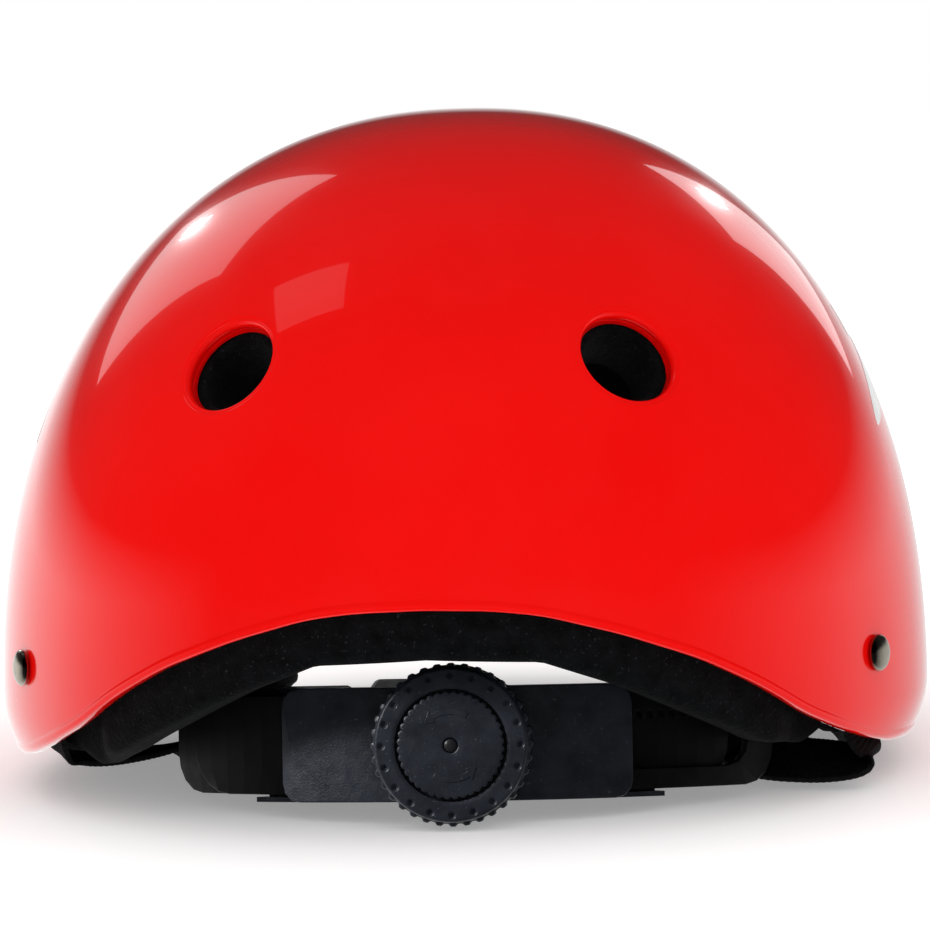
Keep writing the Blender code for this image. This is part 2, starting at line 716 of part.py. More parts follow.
def dial_seat(mat):
    """Ring between the curved cover and the flat back of the dial."""
    sides = 40
    verts = []
    for i in range(sides):
        a = 2 * math.pi * i / sides
        for radius, front in ((13.0, False), (16.4, False), (16.4, True), (13.0, True)):
            x = radius * math.cos(a)
            y = -(DIAL_BACK - 0.3) if front else -math.sqrt((COVER_RADII[1] + 0.25) ** 2 - x * x)
            verts.append(tilted((x, y, radius * math.sin(a))))
    faces = []
    for i in range(sides):
        j = (i + 1) % sides
        for k in range(4):
            m = (k + 1) % 4
            faces.append((i * 4 + k, j * 4 + k, j * 4 + m, i * 4 + m))
    return build("dial_seat", mat, verts, faces)


def lobed(name, mat, rows, bore, origin):
    """Body around the dial axis from rows of (depth, list of radii), with or without a bore."""
    sides = len(rows[0][1])
    verts = []
    for depth, radii in rows:
        for i, radius in enumerate(radii):
            a = 2 * math.pi * i / sides + math.pi / 2
            verts.append(tilted((radius * math.cos(a), -depth, radius * math.sin(a))))
    faces = []
    for r in range(len(rows) - 1 + (1 if bore else 0)):
        nxt = (r + 1) % len(rows)
        for i in range(sides):
            j = (i + 1) % sides
            faces.append((r * sides + i, r * sides + j, nxt * sides + j, nxt * sides + i))
    if not bore:
        faces.append(tuple(range(sides)))
        faces.append(tuple((len(rows) - 1) * sides + i for i in reversed(range(sides))))
    return build(name, mat, verts, faces, origin)


def pinion(mat, origin):
    """Twelve-tooth pinion on its shaft."""
    radii = []
    for i in range(PINION_TEETH):
        radii += [PINION_TIP, PINION_ROOT, PINION_ROOT, PINION_TIP]
    shares = (0.105, 0.29, 0.71, 0.895)
    verts = []
    rows = [(82.75, True), (86.75, True), (86.75, False), (DIAL_FACE - 2.6, False)]
    n = PINION_TEETH * 4
    for depth, toothed in rows:
        for i in range(n):
            tooth, part = divmod(i, 4)
            a = 2 * math.pi * (tooth + shares[part]) / PINION_TEETH + math.pi / 2
            radius = radii[i] if toothed else 3.6
            verts.append(tilted((radius * math.cos(a), -depth, radius * math.sin(a))))
    faces = []
    for r in range(len(rows) - 1):
        for i in range(n):
            j = (i + 1) % n
            faces.append((r * n + i, r * n + j, (r + 1) * n + j, (r + 1) * n + i))
    faces.append(tuple(range(n)))
    faces.append(tuple((len(rows) - 1) * n + i for i in reversed(range(n))))
    return build("pinion", mat, verts, faces, origin)


def adjuster(mats):
    plastic = mats["adjuster"]
    channel("cradle_back", plastic)
    mid = sum(COVER_RADII) / 2
    hole = arc(0, 0, SHAFT_HOLE_RADIUS, 0, 345, 24)
    plate("cradle_cover", plastic, spaced(cover_outline(), 5.0), [hole],
          lambda u, v, r: band(u, v, r, mid), COVER_RADII, 6.0)
    dial_seat(plastic)
    arm("arm_right", mats["arm"], False, RIGHT_ARM_RADII, RIGHT_ARM_ENDS, RIGHT_ARM_SLOT, RIGHT_RACK_TEETH)
    arm("arm_left", mats["arm"], True, LEFT_ARM_RADII, LEFT_ARM_ENDS, LEFT_ARM_SLOT, LEFT_RACK_TEETH)
    hub = tilted((0.0, -DIAL_BACK, 0.0))
    knob_radii = [KNURL_TIP if i % 2 == 0 else KNURL_ROOT for i in range(2 * KNURLS)]
    face_radii = [15.6] * (2 * KNURLS)
    well = [12.1] * (2 * KNURLS)
    bore = [3.95] * (2 * KNURLS)
    rows = [(DIAL_BACK, bore), (DIAL_BACK, [16.2] * (2 * KNURLS)), (DIAL_BACK + 0.5, knob_radii),
            (DIAL_FACE - 1.2, knob_radii), (DIAL_FACE, face_radii), (DIAL_FACE, well),
            (DIAL_FACE - 2.0, well), (DIAL_FACE - 2.0, bore)]
    lobed("dial_knob", plastic, rows, True, hub)
    cap_radii = [CAP_RADIUS if i % 2 == 0 else CAP_RADIUS - 0.45 for i in range(2 * CAP_SCALLOPS)]
    cap_in = [CAP_RADIUS - 1.3] * (2 * CAP_SCALLOPS)
    pip = [2.3] * (2 * CAP_SCALLOPS)
    rows = [(DIAL_FACE - 1.7, pip), (DIAL_FACE - 1.7, cap_radii), (CAP_TOP - 0.5, cap_radii),
            (CAP_TOP, cap_in), (CAP_TOP, pip)]
    lobed("dial_cap", plastic, rows, True, hub)
    axis = (0.0, -math.cos(BAND_TILT), math.sin(BAND_TILT))
    turned("dial_screw", mats["steel"], hub, axis,
           [(DIAL_FACE - DIAL_BACK - 2.2, 0), (DIAL_FACE - DIAL_BACK - 2.2, 1.9),
            (CAP_TOP - DIAL_BACK - 0.4, 1.9), (CAP_TOP - DIAL_BACK, 1.2), (CAP_TOP - DIAL_BACK, 0)], 16)
    pinion(plastic, hub)
    ring_body("detent_ring", plastic, tilted((0.0, -DIAL_BACK, 0.0)), axis, (-0.9, -0.4), (5.2, 7.4), 24)
    plugs = []
    for name, side, radii, ends in (("anchor_right", 1, RIGHT_ARM_RADII, RIGHT_ARM_ENDS),
                                    ("anchor_left", -1, LEFT_ARM_RADII, LEFT_ARM_ENDS)):
        obj, foot, direction = anchor(name, plastic, side, radii, ends)
        plugs.append((name, foot, direction, radii[1]))
    return plugs


def nape_pad(mat):
    """Soft strip on the inner face of the housing."""
    r0 = BACK_RADII[0] - 4.3
    r1 = BACK_RADII[0] - 0.3
    half = math.radians(24.0) * r1
    outline = arc(half - 6, -4.0, 6.0, -90, 0, 4) + arc(half - 6, 4.0, 6.0, 0, 90, 4)
    outline += arc(-half + 6, 4.0, 6.0, 90, 180, 4) + arc(-half + 6, -4.0, 6.0, 180, 270, 4)
    plate("nape_pad", mat, spaced(outline, 6.0), [], lambda u, v, r: band(u, v, r, r1), (r0, r1), 6.0)


# ---------------------------------------------------------------- harness
def fasteners(mats):
    """Rivets with their washers; returns what the shell and straps need cut for them."""
    holes = []
    for where, (angle, z) in RIVETS.items():
        for word, side in (("left", -1), ("right", 1)):
            point, normal = spot(side * angle, z)
            top = 0.35 + RIVET_HEAD_HEIGHT
            t0, t1 = RIVET_TAIL_SPAN
            rows = [(-t1, 0), (-t1, RIVET_TAIL_RADIUS - 0.6), (-t1 + 0.5, RIVET_TAIL_RADIUS),
                    (-t0, RIVET_TAIL_RADIUS), (-t0, RIVET_SHANK_RADIUS),
                    (0.35, RIVET_SHANK_RADIUS), (0.35, RIVET_HEAD_RADIUS),
                    (0.9, RIVET_HEAD_RADIUS), (0.9 + (top - 0.9) * 0.55, RIVET_HEAD_RADIUS * 0.8),
                    (top, 0)]
            turned("rivet_%s_%s" % (where, word), mats["rivet"], point, normal, rows, 14)
            w0, w1 = WASHER_SPAN
            ring_body("washer_%s_%s" % (where, word), mats["steel"], point, normal, (-w1, -w0),
                      (RIVET_HOLE_RADIUS, WASHER_RADIUS), 14)
            holes.append((where, word, point, normal))
    return holes


def harness(mats, holes):
    for word, side in (("left", -1), ("right", 1)):
        rear, front = strap_stations(side)
        straps = {"rear": ribbon("strap_rear_" + word, mats["webbing"], rear, 3),
                  "front": ribbon("strap_front_" + word, mats["webbing"], front, 3)}
        for where, hole_word, point, normal in holes:
            if hole_word != word:
                continue
            rows = [(-8.0, 0), (-8.0, RIVET_HOLE_RADIUS), (-3.0, RIVET_HOLE_RADIUS), (-3.0, 0)]
            cutter = turned("cut_strap_%s_%s" % (where, word), mats["webbing"], point, normal, rows, 14)
            cut(straps[where], cutter)
        divider(mats["hardware"], word, side)
    chin(mats)


def divider(mat, word, side):
    """Flat junction for the side straps; the chin strap slides through the right one."""
    cx, cy, cz = DIVIDER_CENTRE
    sx, sy, sz = (v / 2 for v in DIVIDER_SIZE)
    cx *= side
    obj = box("divider_" + word, mat, (cx - sx, cy - sy, cz - sz), (cx + sx, cy + sy, cz + sz), 1.2)
    w = WEB_WIDTH / 2 + POCKET_GAP
    t = WEB_THICK / 2 + POCKET_GAP
    d = DIVIDER_POCKET_DEPTH
    pockets = {"rear": ((cx - w, cy - sy - 2, cz - t), (cx + w, cy - sy + d, cz + t)),
               "front": ((cx - w, cy + sy - d, cz - t), (cx + w, cy + sy + 2, cz + t))}
    c = CHIN_HALF_WIDTH + POCKET_GAP
    if side > 0:
        pockets["chin"] = ((cx - sx - 2, cy - c, cz - t), (cx + sx + 2, cy + c, cz + t))
    else:
        pockets["chin"] = ((cx + sx - d, cy - c, cz - t), (cx + sx + 2, cy + c, cz + t))
    for key, (low, high) in pockets.items():
        cut(obj, box("cut_divider_%s_%s" % (key, word), mat, low, high))


def chin(mats):
    """Chin strap with its side-release buckle, closed; the plug's prongs lie in the open side windows."""
    _, cy, cz = DIVIDER_CENTRE
    inner = DIVIDER_CENTRE[0] - DIVIDER_SIZE[0] / 2
    reach = inner + DIVIDER_POCKET_DEPTH - POCKET_GAP
    half = CHIN_HALF_WIDTH
    t = WEB_THICK / 2
    gap = POCKET_GAP
    h = BUCKLE_HEIGHT / 2
    w = BUCKLE_WIDTH / 2
    hardware = mats["hardware"]
    back, mouth = SOCKET_X
    x0, x1 = PLUG_PLATE_X
    box("chin_strap_left", mats["webbing"], (-reach, cy - half, cz - t),
        (back + BUCKLE_STRAP_DEPTH, cy + half, cz + t))
    box("chin_strap_right", mats["webbing"], (x1 - BUCKLE_STRAP_DEPTH, cy - half, cz - t),
        (reach, cy + half, cz + t))
    socket = box("buckle_socket", hardware, (back, cy - w, cz - h), (mouth, cy + w, cz + h), 1.6)
    cut(socket, box("cut_socket_mouth", hardware, (back + 7.5, cy - w + 2.2, cz - h + 1.8),
                    (mouth + 2.0, cy + w - 2.2, cz + h - 1.8)))
    for word, side in (("rear", -1), ("front", 1)):
        edge = cy + side * w
        low, high = sorted((edge - side * 4.5, edge + side * 2.0))
        cut(socket, box("cut_socket_window_" + word, hardware, (back + 8.5, low, cz - h + 1.8),
                        (mouth + 2.0, high, cz + h - 1.8)))
    cut(socket, box("cut_socket_strap", hardware, (back - 2.0, cy - half - gap, cz - t - gap),
                    (back + BUCKLE_STRAP_DEPTH + gap, cy + half + gap, cz + t + gap)))
    outline = [(x1, -w + 2.5), (x1, w - 2.5), (x0, w)]
    prong = [(0.0, w - 3.2), (-6.0, w - 3.2), (-8.2, w - 1.2), (-14.5, w - 1.2), (-17.6, w - 3.6),
             (-16.6, w - 5.4), (-6.0, w - 6.6), (-6.0, 2.2), (-17.0, 2.2), (-17.8, 1.4)]
    outline += prong
    outline += [(u, -v) for u, v in reversed([(x0, w)] + prong)]
    plug = plate("buckle_plug", hardware, outline, [], lambda u, v, z: (u, cy + v, cz + z),
                 (-2.1, 2.1), 60.0, (x0, cy, cz))
    cut(plug, box("cut_plug_strap", hardware,
                  (x1 - BUCKLE_STRAP_DEPTH - gap, cy - half - gap, cz - t - gap),
                  (x1 + 2.0, cy + half + gap, cz + t + gap)))


def openings(mats, shell, liner, plugs, holes):
    """Vents through shell and liner, rivet holes, and sockets for the arm plugs."""
    for k, (angle, z) in enumerate(VENTS):
        for word, side in (("left", -1), ("right", 1)):
            point, normal = spot(side * angle, z)
            slope = (VENT_FLARE - VENT_RADIUS) / VENT_FLARE_DEPTH
            flare = turned("cut_vent_%d_%s" % (k, word), mats["shell"], point, normal,
                           [(-9.0, 0), (-9.0, VENT_RADIUS), (-VENT_FLARE_DEPTH, VENT_RADIUS),
                            (4.0, VENT_RADIUS + slope * (4.0 + VENT_FLARE_DEPTH)), (4.0, 0)], 24)
            cut(shell, flare)
            bore = turned("cut_liner_vent_%d_%s" % (k, word), mats["liner"], point, normal,
                          [(-24.0, 0), (-24.0, LINER_VENT_RADIUS), (1.0, LINER_VENT_RADIUS), (1.0, 0)], 16)
            cut(liner, bore)
    for where, word, point, normal in holes:
        bore = turned("cut_rivet_%s_%s" % (where, word), mats["shell"], point, normal,
                      [(-6.0, 0), (-6.0, RIVET_HOLE_RADIUS), (3.0, RIVET_HOLE_RADIUS), (3.0, 0)], 14)
        cut(shell, bore)
    for name, foot, direction, radius in plugs:
        bore = turned("cut_" + name, mats["liner"], foot, direction,
                      [(radius, 0), (radius, ANCHOR_HOLE), (radius + 10.7, ANCHOR_HOLE),
                       (radius + 10.7, 0)], 14)
        cut(liner, bore)


def main():
    clear_scene()
    mats = {
        "shell": material("gloss_red_shell", (0.80, 0.01, 0.008), 0.0, 0.12),
        "liner": material("black_foam", (0.012, 0.012, 0.014), 0.0, 0.95),
        "pad": material("black_fleece", (0.02, 0.02, 0.022), 0.0, 1.0),
        "rivet": material("plated_rivet", (0.42, 0.36, 0.30), 1.0, 0.3),
        "steel": material("steel_washer", (0.55, 0.55, 0.55), 1.0, 0.35),
        "webbing": material("black_webbing", (0.012, 0.012, 0.012), 0.0, 0.85),
        "hardware": material("black_hardware", (0.02, 0.02, 0.022), 0.0, 0.4),
        "adjuster": material("dark_adjuster", (0.03, 0.033, 0.04), 0.0, 0.5),
        "arm": material("black_arm", (0.022, 0.022, 0.024), 0.0, 0.45),
    }
    shell = shell_body(mats["shell"])
    liner = liner_body(mats["liner"])
    crown_pad(mats["pad"])
    patch("brow_pad", mats["pad"], (146.0, 214.0), (38.0, 66.0), (PAD_OUTER, PAD_INNER), (15, 5))
    holes = fasteners(mats)
    plugs = adjuster(mats)
    nape_pad(mats["pad"])
    harness(mats, holes)
    openings(mats, shell, liner, plugs, holes)


main()
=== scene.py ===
"""Looks of the water helmet: glossy shell, foam liner, webbing harness and rear dial adjuster."""
import math

import bmesh
import bpy
import numpy as np
from mathutils import Matrix, Vector
from mathutils.geometry import delaunay_2d_cdt


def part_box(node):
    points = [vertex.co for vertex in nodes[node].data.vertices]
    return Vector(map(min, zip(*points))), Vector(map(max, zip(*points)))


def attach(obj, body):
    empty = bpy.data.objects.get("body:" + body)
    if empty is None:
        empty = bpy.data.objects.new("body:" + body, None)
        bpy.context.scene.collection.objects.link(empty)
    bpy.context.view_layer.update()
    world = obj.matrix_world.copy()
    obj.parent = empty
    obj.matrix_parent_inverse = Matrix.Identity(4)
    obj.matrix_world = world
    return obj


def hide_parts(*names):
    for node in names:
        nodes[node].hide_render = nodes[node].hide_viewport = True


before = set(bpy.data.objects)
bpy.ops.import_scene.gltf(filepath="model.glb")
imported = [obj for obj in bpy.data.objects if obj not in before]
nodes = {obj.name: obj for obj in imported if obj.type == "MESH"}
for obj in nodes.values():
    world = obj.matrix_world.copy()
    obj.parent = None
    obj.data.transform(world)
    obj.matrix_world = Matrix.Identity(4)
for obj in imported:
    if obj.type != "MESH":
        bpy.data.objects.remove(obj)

MM = 0.001
PI = math.pi

# shell surface, millimetres
HALF_WIDTH, CROWN_Z, WIDEST_Z = 107.2, 151.6, 19.6
SIDE_POWER, SIDE_TUCK, TUCK_SPAN = 2.2, 0.089, 20.0
WIDEST_Y, CROWN_Y = -19.6, 9.3
REAR_Y, REAR_WIDEST_Z, REAR_POWER = -126.8, 43.4, 2.115
FRONT_Y, FRONT_WIDEST_Z, FRONT_POWER, FRONT_PLAN_POWER = 127.0, 45.0, 2.2, 2.12
SHELL_WALL = 3.6
LINER_OUTER, LINER_RECESS, LINER_INNER = 4.25, 9.7, 15.9
RIM = [(0, 49.0), (8, 48.5), (14, 47.0), (23, 42.2), (33, 35.4), (41, 28.2), (49, 19.8), (56, 14.8),
       (63, 11.2), (70, 8.8), (80, 7.4), (90, 7.0), (100, 7.2), (110, 9.5), (120, 14.5), (135, 23.5),
       (150, 31.0), (165, 34.6), (180, 35.5)]
LIP = [(0, 37.6), (14, 36.4), (24, 30.0), (35, 21.5), (45, 14.0), (55, 8.8), (60, 11.5), (75, 11.5),
       (80, 5.0), (90, 4.0), (95, 0.0), (110, 0.0), (115, 12.5), (125, 14.0), (140, 20.0), (155, 26.5),
       (180, 29.5)]
RIGHT_RAISE = [(45, 0.0), (52, 2.0), (60, 3.0), (65, 0.0)]
VENTS = [(29.4, 100.0), (112.0, 131.0), (148.0, 96.0)]
VENT_SIDES = 72
RIVETS = {"rear": (63.0, 30.5), "front": (118.0, 30.0)}
WEB_WIDTH, WEB_THICK, WEB_LAYER, CHIN_HALF_WIDTH = 16.0, 1.6, 5.5, 7.5
RIB_PITCH, RIB_STEPS, RIB_HEIGHT = 1.25, 5, 0.11
DIVIDER_CENTRE, DIVIDER_SIZE, POCKET_REACH = (45.0, 15.0, 9.0), (26.0, 34.0, 4.6), 7.65
BAND_CENTRE, BAND_TILT = (4.0, -17.0, 6.5), math.radians(7.0)
DIAL_BACK, DIAL_FACE, CAP_TOP = 90.5, 96.6, 97.7
DIAL_SIDES, KNURLS, KNURL_DEPTH = 720, 36, 0.6
DIMPLES, DIMPLE_CIRCLE, DIMPLE_RADIUS, DIMPLE_DEPTH = 20, 15.05, 0.95, 0.8
CAP_SCALLOPS, SCALLOP_DEPTH = 20, 0.45

# fleece pads, millimetres
PAD_VOXEL, PAD_PUFF, PAD_PRESSURE, PAD_FRAMES, PAD_SMOOTHING = 1.4, 0.9, 4.0, 12, 6

# view from the rear, metres and degrees
CAMERA_AZIMUTH, CAMERA_ELEVATION, CAMERA_ROLL = 4.63, 5.34, -1.638
CAMERA_DISTANCE, CAMERA_LENS, CAMERA_SENSOR = 1.15, 188.4368, 36.0
CAMERA_SHIFT = (-0.00129, -0.010538)
AIM_HEIGHT = 0.07
FLOOR_RADIUS, FLOOR_DROP, FLOOR_SIDES = 6.0, 0.0004, 64
LAMP_DISTANCE, DIAL_LAMP_DISTANCE = 1.8, 0.7


# ---------------------------------------------------------------- shell surface
def profile(z, widest, power, tuck):
    up = np.clip((z - widest) / (CROWN_Z - widest), 0.0, 1.0)
    down = np.clip((widest - z) / TUCK_SPAN, 0.0, None)
    return (1.0 - up ** power) ** (1.0 / power) - tuck * down ** 2


def skin(angle, phi):
    """Points on the outer face: angle in degrees from the rear, phi up to pi/2 at the crown."""
    a = np.radians(np.asarray(angle, float))
    phi = np.asarray(phi, float)
    rise = np.where(phi > 0, np.sin(np.clip(phi, 0, PI / 2)), phi)
    z = WIDEST_Z + (CROWN_Z - WIDEST_Z) * rise
    half = HALF_WIDTH * profile(z, WIDEST_Z, SIDE_POWER, SIDE_TUCK)
    mid = WIDEST_Y + (CROWN_Y - WIDEST_Y) * np.clip(rise, 0, 1) ** 1.5
    rear = mid - CROWN_Y + (CROWN_Y - REAR_Y) * profile(z, REAR_WIDEST_Z, REAR_POWER, 0.01)
    front = CROWN_Y - mid + (FRONT_Y - CROWN_Y) * profile(z, FRONT_WIDEST_Z, FRONT_POWER, 0.01)
    s, c = np.sin(a), np.cos(a)
    p = FRONT_PLAN_POWER
    bulge = np.where(c < 0, (np.abs(s) ** p + np.abs(c) ** p) ** (-1.0 / p), 1.0)
    return np.stack(np.broadcast_arrays(half * s * bulge, mid - np.where(c < 0, front, rear) * c * bulge,
                                        z + 0 * a), -1)


def outward(angle, phi):
    """Unit normals of the outer face."""
    e = 1e-3
    phi = np.minimum(np.asarray(phi, float), PI / 2 - 2 * e)
    da = skin(angle + e * 50, phi) - skin(angle - e * 50, phi)
    dp = skin(angle, phi + e) - skin(angle, phi - e)
    n = np.cross(da, dp)
    return n / np.maximum(np.linalg.norm(n, axis=-1, keepdims=True), 1e-12)


def layer(angle, phi, depth):
    return skin(angle, phi) - outward(angle, phi) * np.asarray(depth, float)[..., None]


def phi_at(z):
    r = (np.asarray(z, float) - WIDEST_Z) / (CROWN_Z - WIDEST_Z)
    return np.where(r > 0, np.arcsin(np.clip(r, 0, 1)), r)


def height(table, angle):
    """Height of an edge line, eased between its stations."""
    a = np.abs((np.asarray(angle, float) + 180.0) % 360.0 - 180.0)
    keys, values = np.array(table, float).T
    soft = 0.0
    for shift in (-2.0, -1.0, 0.0, 1.0, 2.0):
        soft = soft + np.interp(np.clip(a + shift, 0, 180), keys, values) / 5.0
    return soft


def rim_height(angle):
    return height(RIM, angle)


def lip_height(angle):
    signed = (np.asarray(angle, float) + 180.0) % 360.0 - 180.0
    keys, values = np.array(RIGHT_RAISE, float).T
    extra = np.interp(signed, keys, values, left=0.0, right=0.0)
    a = np.abs(signed)
    low, level = np.array(LIP, float).T
    straight = np.interp(a, low, level)
    eased = (height(LIP, angle) + straight) * 0.5
    return np.maximum(straight, eased) + extra


def liner_depth(angle, z):
    a = np.abs((np.asarray(angle, float) + 180.0) % 360.0 - 180.0)
    side = np.clip((a - 46.0) / 6.0, 0, 1) * np.clip((136.0 - a) / 6.0, 0, 1)
    low = np.clip((56.0 - z) / 8.0, 0, 1)
    return LINER_OUTER + (LINER_RECESS - LINER_OUTER) * side * low


# ---------------------------------------------------------------- materials
def noise(tree, coord, scale, detail=4.0, rough=0.5):
    node = tree.nodes.new("ShaderNodeTexNoise")
    node.inputs["Scale"].default_value = scale
    node.inputs["Detail"].default_value = detail
    node.inputs["Roughness"].default_value = rough
    tree.links.new(coord, node.inputs["Vector"])
    return node.outputs["Fac"]


def span(tree, value, low, high, new_low, new_high):
    node = tree.nodes.new("ShaderNodeMapRange")
    for key, number in (("From Min", low), ("From Max", high), ("To Min", new_low), ("To Max", new_high)):
        node.inputs[key].default_value = number
    tree.links.new(value, node.inputs["Value"])
    return node.outputs["Result"]


def finish_of(name, dark, light, rough, tint_scale, bumps, coat=0.0, metallic=0.0, sheen=0.0, specular=0.5,
              coat_rough=0.03, ribs=None, spots=None):
    """Principled material whose colour, roughness and relief come from noise in object space."""
    mat = bpy.data.materials.new(name)
    mat.use_nodes = True
    tree = mat.node_tree
    bsdf = tree.nodes["Principled BSDF"]
    coord = tree.nodes.new("ShaderNodeTexCoord")
    space = coord.outputs["Object"]
    mix = tree.nodes.new("ShaderNodeMix")
    mix.data_type = "RGBA"
    mix.inputs[6].default_value = (*dark, 1.0)
    mix.inputs[7].default_value = (*light, 1.0)
    tint = noise(tree, space, tint_scale, 5.0, 0.6)
    tree.links.new(span(tree, tint, 0.3, 0.7, 0.0, 1.0), mix.inputs[0])
    colour = mix.outputs[2]
    if spots is not None:
        speck = noise(tree, space, spots[0], 1.0, 0.5)
        over = tree.nodes.new("ShaderNodeMix")
        over.data_type = "RGBA"
        over.inputs[7].default_value = (*spots[1], 1.0)
        tree.links.new(colour, over.inputs[6])
        tree.links.new(span(tree, speck, spots[2], spots[2] + 0.06, 0.0, 1.0), over.inputs[0])
        colour = over.outputs[2]
    tree.links.new(colour, bsdf.inputs["Base Color"])
    wear = noise(tree, space, tint_scale * 3.0, 3.0, 0.5)
    tree.links.new(span(tree, wear, 0.3, 0.7, rough[0], rough[1]), bsdf.inputs["Roughness"])
    bsdf.inputs["Metallic"].default_value = metallic
    bsdf.inputs["Coat Weight"].default_value = coat
    bsdf.inputs["Coat Roughness"].default_value = coat_rough
    bsdf.inputs["Sheen Weight"].default_value = sheen
    bsdf.inputs["Sheen Roughness"].default_value = 0.5
    bsdf.inputs["Specular IOR Level"].default_value = specular
    last = None
    for scale, strength, distance in bumps:
        bump = tree.nodes.new("ShaderNodeBump")
        bump.inputs["Strength"].default_value = strength
        bump.inputs["Distance"].default_value = distance * MM
        tree.links.new(noise(tree, space, scale, 3.0, 0.6), bump.inputs["Height"])
        if last is not None:
            tree.links.new(last, bump.inputs["Normal"])
        last = bump.outputs["Normal"]
    if ribs is not None:
        wave = tree.nodes.new("ShaderNodeTexWave")
        wave.bands_direction = "Y"
        wave.inputs["Scale"].default_value = ribs[0]
        wave.inputs["Distortion"].default_value = 0.4
        tree.links.new(coord.outputs["UV"], wave.inputs["Vector"])
        cross = tree.nodes.new("ShaderNodeTexWave")
        cross.bands_direction = "X"
        cross.inputs["Scale"].default_value = ribs[1]
        tree.links.new(coord.outputs["UV"], cross.inputs["Vector"])
        for source in (wave, cross):
            bump = tree.nodes.new("ShaderNodeBump")
            bump.inputs["Strength"].default_value = 0.6
            bump.inputs["Distance"].default_value = 0.12 * MM
            tree.links.new(source.outputs["Fac"], bump.inputs["Height"])
            if last is not None:
                tree.links.new(last, bump.inputs["Normal"])
            last = bump.outputs["Normal"]
    if last is not None:
        tree.links.new(last, bsdf.inputs["Normal"])
    return mat


# ---------------------------------------------------------------- mesh making
def body_mesh(name, verts, faces, mat, body, hides=(), normals=None, uvs=None, angle=40.0):
    """A piece from points in millimetres, riding on a body of the frame."""
    mesh = bpy.data.meshes.new(name)
    points = [tuple(v) for v in np.asarray(verts, float) * MM]
    mesh.from_pydata(points, [], [tuple(map(int, f)) for f in faces])
    mesh.validate()
    bm = bmesh.new()
    bm.from_mesh(mesh)
    bmesh.ops.recalc_face_normals(bm, faces=bm.faces)
    bm.to_mesh(mesh)
    bm.free()
    mesh.materials.append(mat)
    mesh.shade_smooth()
    if normals is None:
        mesh.set_sharp_from_angle(angle=math.radians(angle))
    else:
        flat = np.zeros(len(mesh.vertices) * 3, np.float32)
        mesh.vertices.foreach_get("normal", flat)
        flat = flat.reshape(-1, 3)
        known = np.linalg.norm(normals, axis=1) > 0.5
        flat[known] = normals[known]
        mesh.normals_split_custom_set_from_vertices([tuple(map(float, n)) for n in flat])
    if uvs is not None:
        layer_uv = mesh.uv_layers.new(name="weave")
        for loop in mesh.loops:
            layer_uv.data[loop.index].uv = uvs[loop.vertex_index]
    obj = bpy.data.objects.new(name, mesh)
    bpy.context.scene.collection.objects.link(obj)
    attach(obj, body)
    if hides:
        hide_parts(*hides)
    return obj


def rings_to_faces(rows, sides, first=0):
    """Quads between stacked rings of vertices."""
    faces = []
    for r in range(rows - 1):
        low = first + r * sides
        high = low + sides
        for i in range(sides):
            j = (i + 1) % sides
            faces.append((low + i, low + j, high + j, high + i))
    return faces


def vent_frame(angle, z):
    phi = float(phi_at(z))
    centre = skin(angle, phi)
    normal = outward(angle, phi)
    u = skin(angle + 0.5, phi) - skin(angle - 0.5, phi)
    u = u / np.linalg.norm(u)
    return angle, phi, centre, normal, u, np.cross(normal, u)


def walk(frame_at, du, dv):
    """Angle and phi of the points that lie at sideways offsets du, dv from a spot."""
    angle, phi, centre, _, u, v = frame_at
    e = 0.01
    pa = (skin(angle + e, phi) - skin(angle - e, phi)) / (2 * e)
    pp = (skin(angle, phi + e) - skin(angle, phi - e)) / (2 * e)
    inverse = np.linalg.inv(np.array([[pa @ u, pp @ u], [pa @ v, pp @ v]]))
    a = np.full(len(du), angle)
    p = np.full(len(du), phi)
    for _ in range(12):
        offset = skin(a, p) - centre
        miss = np.stack([du - offset @ u, dv - offset @ v])
        step = inverse @ miss
        a = a + step[0]
        p = p + step[1]
    return a, p


def boundary_loop(faces):
    """Ordered vertices around a hole, from the directed edges that have no partner."""
    edges = set()
    for face in faces:
        for a, b in zip(face, face[1:] + face[:1]):
            edges.add((a, b))
    follow = {a: b for a, b in edges if (b, a) not in edges}
    start = next(iter(follow))
    loop = [start]
    while follow[loop[-1]] != start:
        loop.append(follow[loop[-1]])
    return loop


def fill_between(outer_uv, inner_uv):
    """Triangles between two loops, as index pairs into the outer and then the inner list."""
    points = [Vector(p) for p in np.vstack([outer_uv, inner_uv])]
    n, m = len(outer_uv), len(inner_uv)
    edges = [(i, (i + 1) % n) for i in range(n)] + [(n + i, n + (i + 1) % m) for i in range(m)]
    _, _, tris, origin, _, _ = delaunay_2d_cdt(points, edges, [], 0, 1e-7)
    radius = np.linalg.norm(inner_uv, axis=1).min()
    keep = []
    for tri in tris:
        ids = [origin[k][0] for k in tri]
        middle = np.mean([points[k] for k in ids], axis=0)
        if np.hypot(*middle) < radius * 0.999 or not within(outer_uv, middle):
            continue
        keep.append(tuple(ids))
    return keep


def within(poly, point):
    x, y = point
    result = False
    for (x0, y0), (x1, y1) in zip(poly, np.roll(poly, -1, axis=0)):
        if (y0 > y) != (y1 > y) and x < (x1 - x0) * (y - y0) / (y1 - y0) + x0:
            result = not result
    return result


